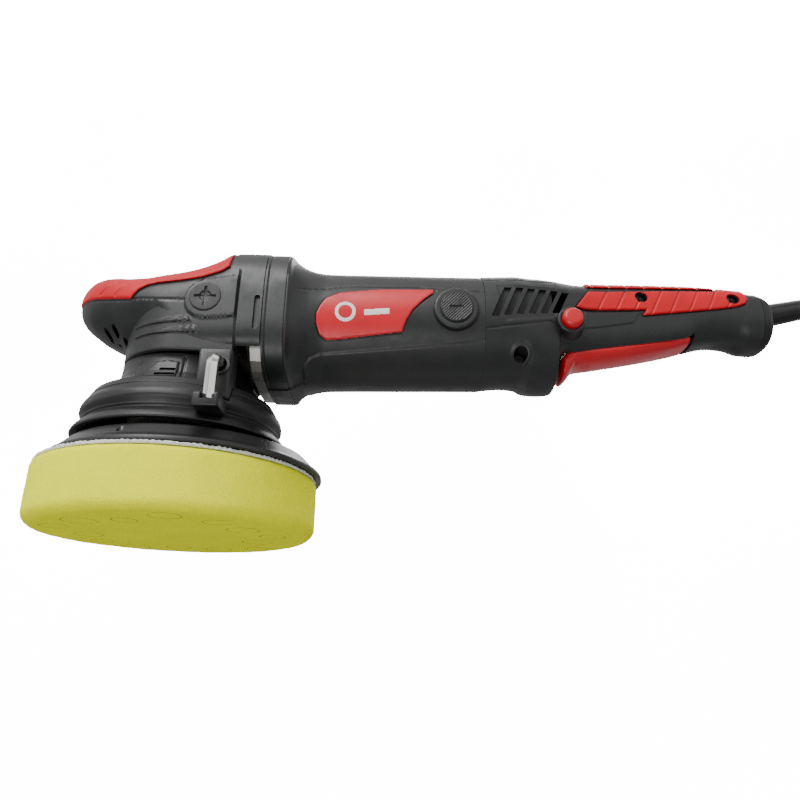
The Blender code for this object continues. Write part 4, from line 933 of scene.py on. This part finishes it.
def trigger():
    def marks(x, y, z):
        rim = line(x, z, [(227.7, -19.5), (236, -15.6), (263.5, -12.6), (290, -9.0), (311, -6.4)], 0.8, 0.35)
        return rim * (np.abs(y) > 10)

    lever = lofted("lever", TRIGGER, CELL, 180, relief=marks)
    combine(lever, [rod("bore", 1.85, -20, 20, HINGE_AT, "Y", 32)])
    piece(lever, RED_HARD, "trigger", "red_plastic", "trigger", sharp=60)


def controls():
    """The lock button and the ribbed speed wheel."""
    button = turned("button", [(0, 36.4), (4.6, 36.2), (6.3, 34.6), (6.4, 17.5), (0, 17.5)], 96,
                    BUTTON_AT, "-Y", None, 0.6, 0.9)
    piece(button, RED_HARD, "lock_button", "red_plastic", "lock_button")

    def ribs(r, h, a):
        return -0.45 * (r > 12) * smoothed(0.5 + np.cos(40 * a) * 1.2)

    wheel = turned("wheel", [(12.4, 3.6), (13, 3.0), (13, -3.0), (12.4, -3.6), (2.3, -3.6), (2.3, 3.6)], 320,
                   DIAL_AT, "Y", ribs, 0.7)
    piece(wheel, RUBBER, "speed_dial", "black_rubber", "speed_dial")


def end_parts():
    """The end cap and the tapered strain relief that the cord leaves by."""
    cap = lofted("cap", END_CAP, 0.5, 240)
    combine(cap, [rod("cap_way", 9.4, 340, 380, (0, 0, 145.6), "X")])
    piece(cap, RUBBER, "machine", "black_rubber", "end_cap", name="handle_end")
    way = Vector(CORD_EXIT) - Vector(RELIEF_AT)
    length, turn = way.length, way.to_track_quat("Z", "Y").to_matrix().to_4x4()
    relief = turned("relief", [(0, length), (5.2, length), (6.7, length * 0.45), (7.6, 8), (7.6, 0), (0, 0)],
                    128, RELIEF_AT, turn, None, 0.5, 0.8)
    piece(relief, CORD, "machine", "black_rubber", "strain_relief", name="cord_relief")


# ---- pad ----
def pad():
    z = 34.8                              # underside of the plate

    def swell(r, h, a):
        return 0.10 * np.sin(a * 3 + 1) * smoothed((r - 40) / 20)

    plate = turned("plate", [(20, 50.0), (60, 49.0), (64, 48.4), (70.0, 46.4), (76.8, 39.4), (79.8, 37.4),
                             (80.1, z + 0.5), (79.6, z), (9.5, z), (9.5, z + 6), (4.4, z + 6), (4.4, 50.0)],
                   260, PLATE_AT, "Z", swell, 1.2, 0.8)
    x, y = PLATE_AT[:2]
    holes = [rod("hole", 2.0, 30, 60, (x + 73.8 * math.cos(a), y + 73.8 * math.sin(a), 0), "Z", 32)
             for a in (math.radians(18 + 60 * k) for k in range(6))]
    piece(combine(plate, holes), PLATE, "pad", "backing_plate", "backing_plate", name="plate")

    def fuzz(r, h, a):
        waves = 0.18 * np.sin(a * 97 + 3 * np.sin(a * 31)) + 0.15 * np.sin(a * 173 + h * 3)
        return smoothed((r - 79.5) / 0.8) * (waves + 0.1 * np.sin(a * 41))

    loop = turned("hook_and_loop", [(0, 34.4), (80.6, 34.4), (80.9, 33.6), (80.6, 32.95), (0, 32.95)], 720,
                  FOAM_AT, "Z", fuzz, 0.8)
    piece(loop, LOOP, "pad", "loop_fabric", "pad_loop_layer")

    def pores(r, h, a):
        wide = 0.30 * np.sin(a * 2 + 0.6) * smoothed((r - 60) / 20)
        return wide + 0.12 * np.sin(a * 23 + h * 0.9) * np.sin(h * 1.3 + a * 11) * smoothed((r - 70) / 8)

    edge = 6.4
    low = [(81.4 - edge + edge * math.cos(math.radians(a)), edge + edge * math.sin(math.radians(a)))
           for a in range(0, -91, -10)]
    foam = turned("foam", [(0, 32.6), (79.6, 32.6), (81.0, 31.6), (81.4, 29.8)] + low + [(0, 0)], 420,
                  FOAM_AT, "Z", pores, 1.4)
    piece(foam, FOAM, "pad", "foam", "foam_pad", sharp=80, name="foam")


INSIDE = {
    CASTING: ("gearbox_housing", "eccentric_carrier", "counterweight"),
    STEEL: ("spindle_bearing_lower", "spindle_bearing_upper", "pad_bearing_lower", "pad_bearing_upper",
            "motor_bearing_front", "motor_bearing_rear"),
    SHAFT: ("main_spindle", "crown_gear", "pad_spindle", "pinion", "motor_shaft", "armature_core", "stator",
            "trigger_pin"),
    COPPER: ("commutator",), BRASS: ("brush_holder_left", "brush_holder_right"),
    CARBON: ("carbon_brush_left", "carbon_brush_right"), BOARD: ("control_board",), SCREW: ("plate_bolt",),
    INNER: ("fan", "switch_body"),
}


def inner_parts():
    """Finishes for the parts that stay as the CAD made them."""
    for mat, names in INSIDE.items():
        for name in names:
            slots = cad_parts[name].data.materials
            slots.clear()
            slots.append(mat)


# ---- cord: straight out of the relief, down, and into a coil of three columns of turns ----
ROUTE = [(434.3, 0, 161.5), (446, 0, 163.5), (460, 0, 163.2), (474, 0.2, 159.0), (486, 0.4, 150.8),
         (495, 0.6, 139.2), (501, 0.7, 125.5), (505, 0.8, 110), (508.5, 0.8, 94), (513, 0.6, 78),
         (520, 0.3, 62), (530, 0.1, 48.8), (542, 0.2, 40.6), (555, 2.4, 37.0), (566.6, 7.4, 36.4)]


def curve_through(route, per_span):
    """Points on a Catmull-Rom curve through the route's points."""
    p = np.array(route, float)
    p = np.vstack([2 * p[0] - p[1], p, 2 * p[-1] - p[-2]])
    out = []
    for i in range(1, len(p) - 2):
        for t in np.arange(per_span) / per_span:
            out.append(0.5 * (2 * p[i] + (p[i + 1] - p[i - 1]) * t
                              + (2 * p[i - 1] - 5 * p[i] + 4 * p[i + 1] - p[i + 2]) * t * t
                              + (3 * p[i] - p[i - 1] - 3 * p[i + 1] + p[i + 2]) * t ** 3))
    return out + [p[-2]]


def coil_points():
    """The coiled stretch: knots of (degrees turned, radius, height), with a point every 4 degrees."""
    low, high = CORD_D / 2, 3.5 * CORD_D
    start = -57.8
    knots = [(start, 48.0, 36.4), (start + 60, 43.5, 33.6), (132, 40, high), (132 + 3 * 360, 40, low + 0.2)]
    across = 132 + 3 * 360 + 85
    knots += [(across, 48, low), (across + 3 * 360, 48, high)]
    out = across + 3 * 360 + 85
    end = 180 + 360 * 9
    knots += [(out, 56, high), (end, 56, low)]
    angles = np.arange(start + 4, end + 0.1, 4.0)
    return [np.array((COIL_X + r * math.cos(a), COIL_Y + r * math.sin(a), z))
            for a, (r, z) in zip(np.radians(angles), eased(knots, angles))]


def cord():
    points = curve_through(ROUTE, 4) + coil_points()
    x, y, z = points[-1]
    points += [np.array((x, y - d, z + 1.9 * (d / 37) ** 3)) for d in (7, 14, 21, 28, 37.0)]
    curve = bpy.data.curves.new("mains_cord", "CURVE")
    curve.dimensions = "3D"
    curve.bevel_depth = CORD_D / 2 * MM
    curve.bevel_resolution = 5
    curve.use_fill_caps = True
    spline = curve.splines.new("POLY")
    spline.points.add(len(points) - 1)
    for knot, p in zip(spline.points, points):
        knot.co = (*(Vector(p) * MM), 1.0)
    return piece(add("mains_cord", curve), CORD, "machine", "cord_rubber", "cord", "cord_coil")


PLUG_AT, PLUG_TILT = (485.0, 10.5, 5.9), math.radians(12.4)


def plug():
    """A moulded round plug on its side, with a ribbed sleeve and two pins."""
    turn = Matrix.Rotation(math.pi / 2 - PLUG_TILT, 4, "X")

    def ribs(r, h, a):
        sleeve = (h > 3) & (h < 27)
        grip = (h > 57) & (h < 70) & (r > 17)
        rings = np.where(sleeve, -0.8 * smoothed(np.abs(((h - 3) % 4) / 4 - 0.5) * 4 - 1), 0)
        return rings - np.where(grip, 0.7 * smoothed(np.cos(a * 18) * 1.5), 0)

    body = turned("mains_plug", [(0, 74), (15, 74), (18.4, 71.4), (18.4, 58), (14, 50), (9, 36), (6.6, 24),
                                 (5.7, 0), (0, 0)], 108, PLUG_AT, turn, ribs, 0.7, 1.2)
    pins = []
    for side in (-9.5, 9.5):
        at = (PLUG_AT[0] + side, PLUG_AT[1], PLUG_AT[2])
        pins.append(turned("pin", [(0, 93), (2.4, 93), (2.4, 70), (0, 70)], 28, at, turn, None, 1.0, 0.9))
    pin_metal = pins[0]
    combine(pin_metal, pins[1:], "UNION")
    piece(pin_metal, STEEL, "machine", "bearing_steel", name="plug_pins")
    piece(body, CORD, "machine", "cord_rubber", "plug")
    return [body, pin_metal]


def coil_tie():
    """A strap over the coil, with a rounded section and a ridged face."""
    turn = np.array(Matrix.Rotation(2.3, 3, "Z"))
    top, half, t = 33.1, 13.0, 0.8
    path = dense(soft([(half, 0.8), (half, top), (-half, top), (-half, 0.8)], 3.0), 0.9)
    rings = []
    for i, p in enumerate(path):
        d = np.array(path[min(i + 1, len(path) - 1)]) - np.array(path[max(i - 1, 0)])
        n = np.array((d[1], -d[0])) / np.linalg.norm(d)
        ridge = 0.15 * math.cos(i * 1.2)
        loop = []
        for y, out in soft([(0, -t), (0, t + ridge), (9, t + ridge), (9, -t), (0, -t)], 0.5)[1:-1]:
            loop.append((p[0] + n[0] * out, y, p[1] + n[1] * out))
        rings.append(loop)
    grid = np.array(rings) @ turn.T + (COIL_X + COIL_R * math.cos(2.3), COIL_Y + COIL_R * math.sin(2.3), 0)
    return piece(solid("cord_tie", grid), RUBBER, "machine", "black_rubber", "coil_tie")


# ---- run ----
camera()
stage()
head_cover()
head_grip()
side_plugs()
neck()
skirt_boot()
hex_key()
key_clip()
motor_housing()
handle()
end_parts()
pad()
inner_parts()
lead = cord()
ends = plug() + [coil_tie()]
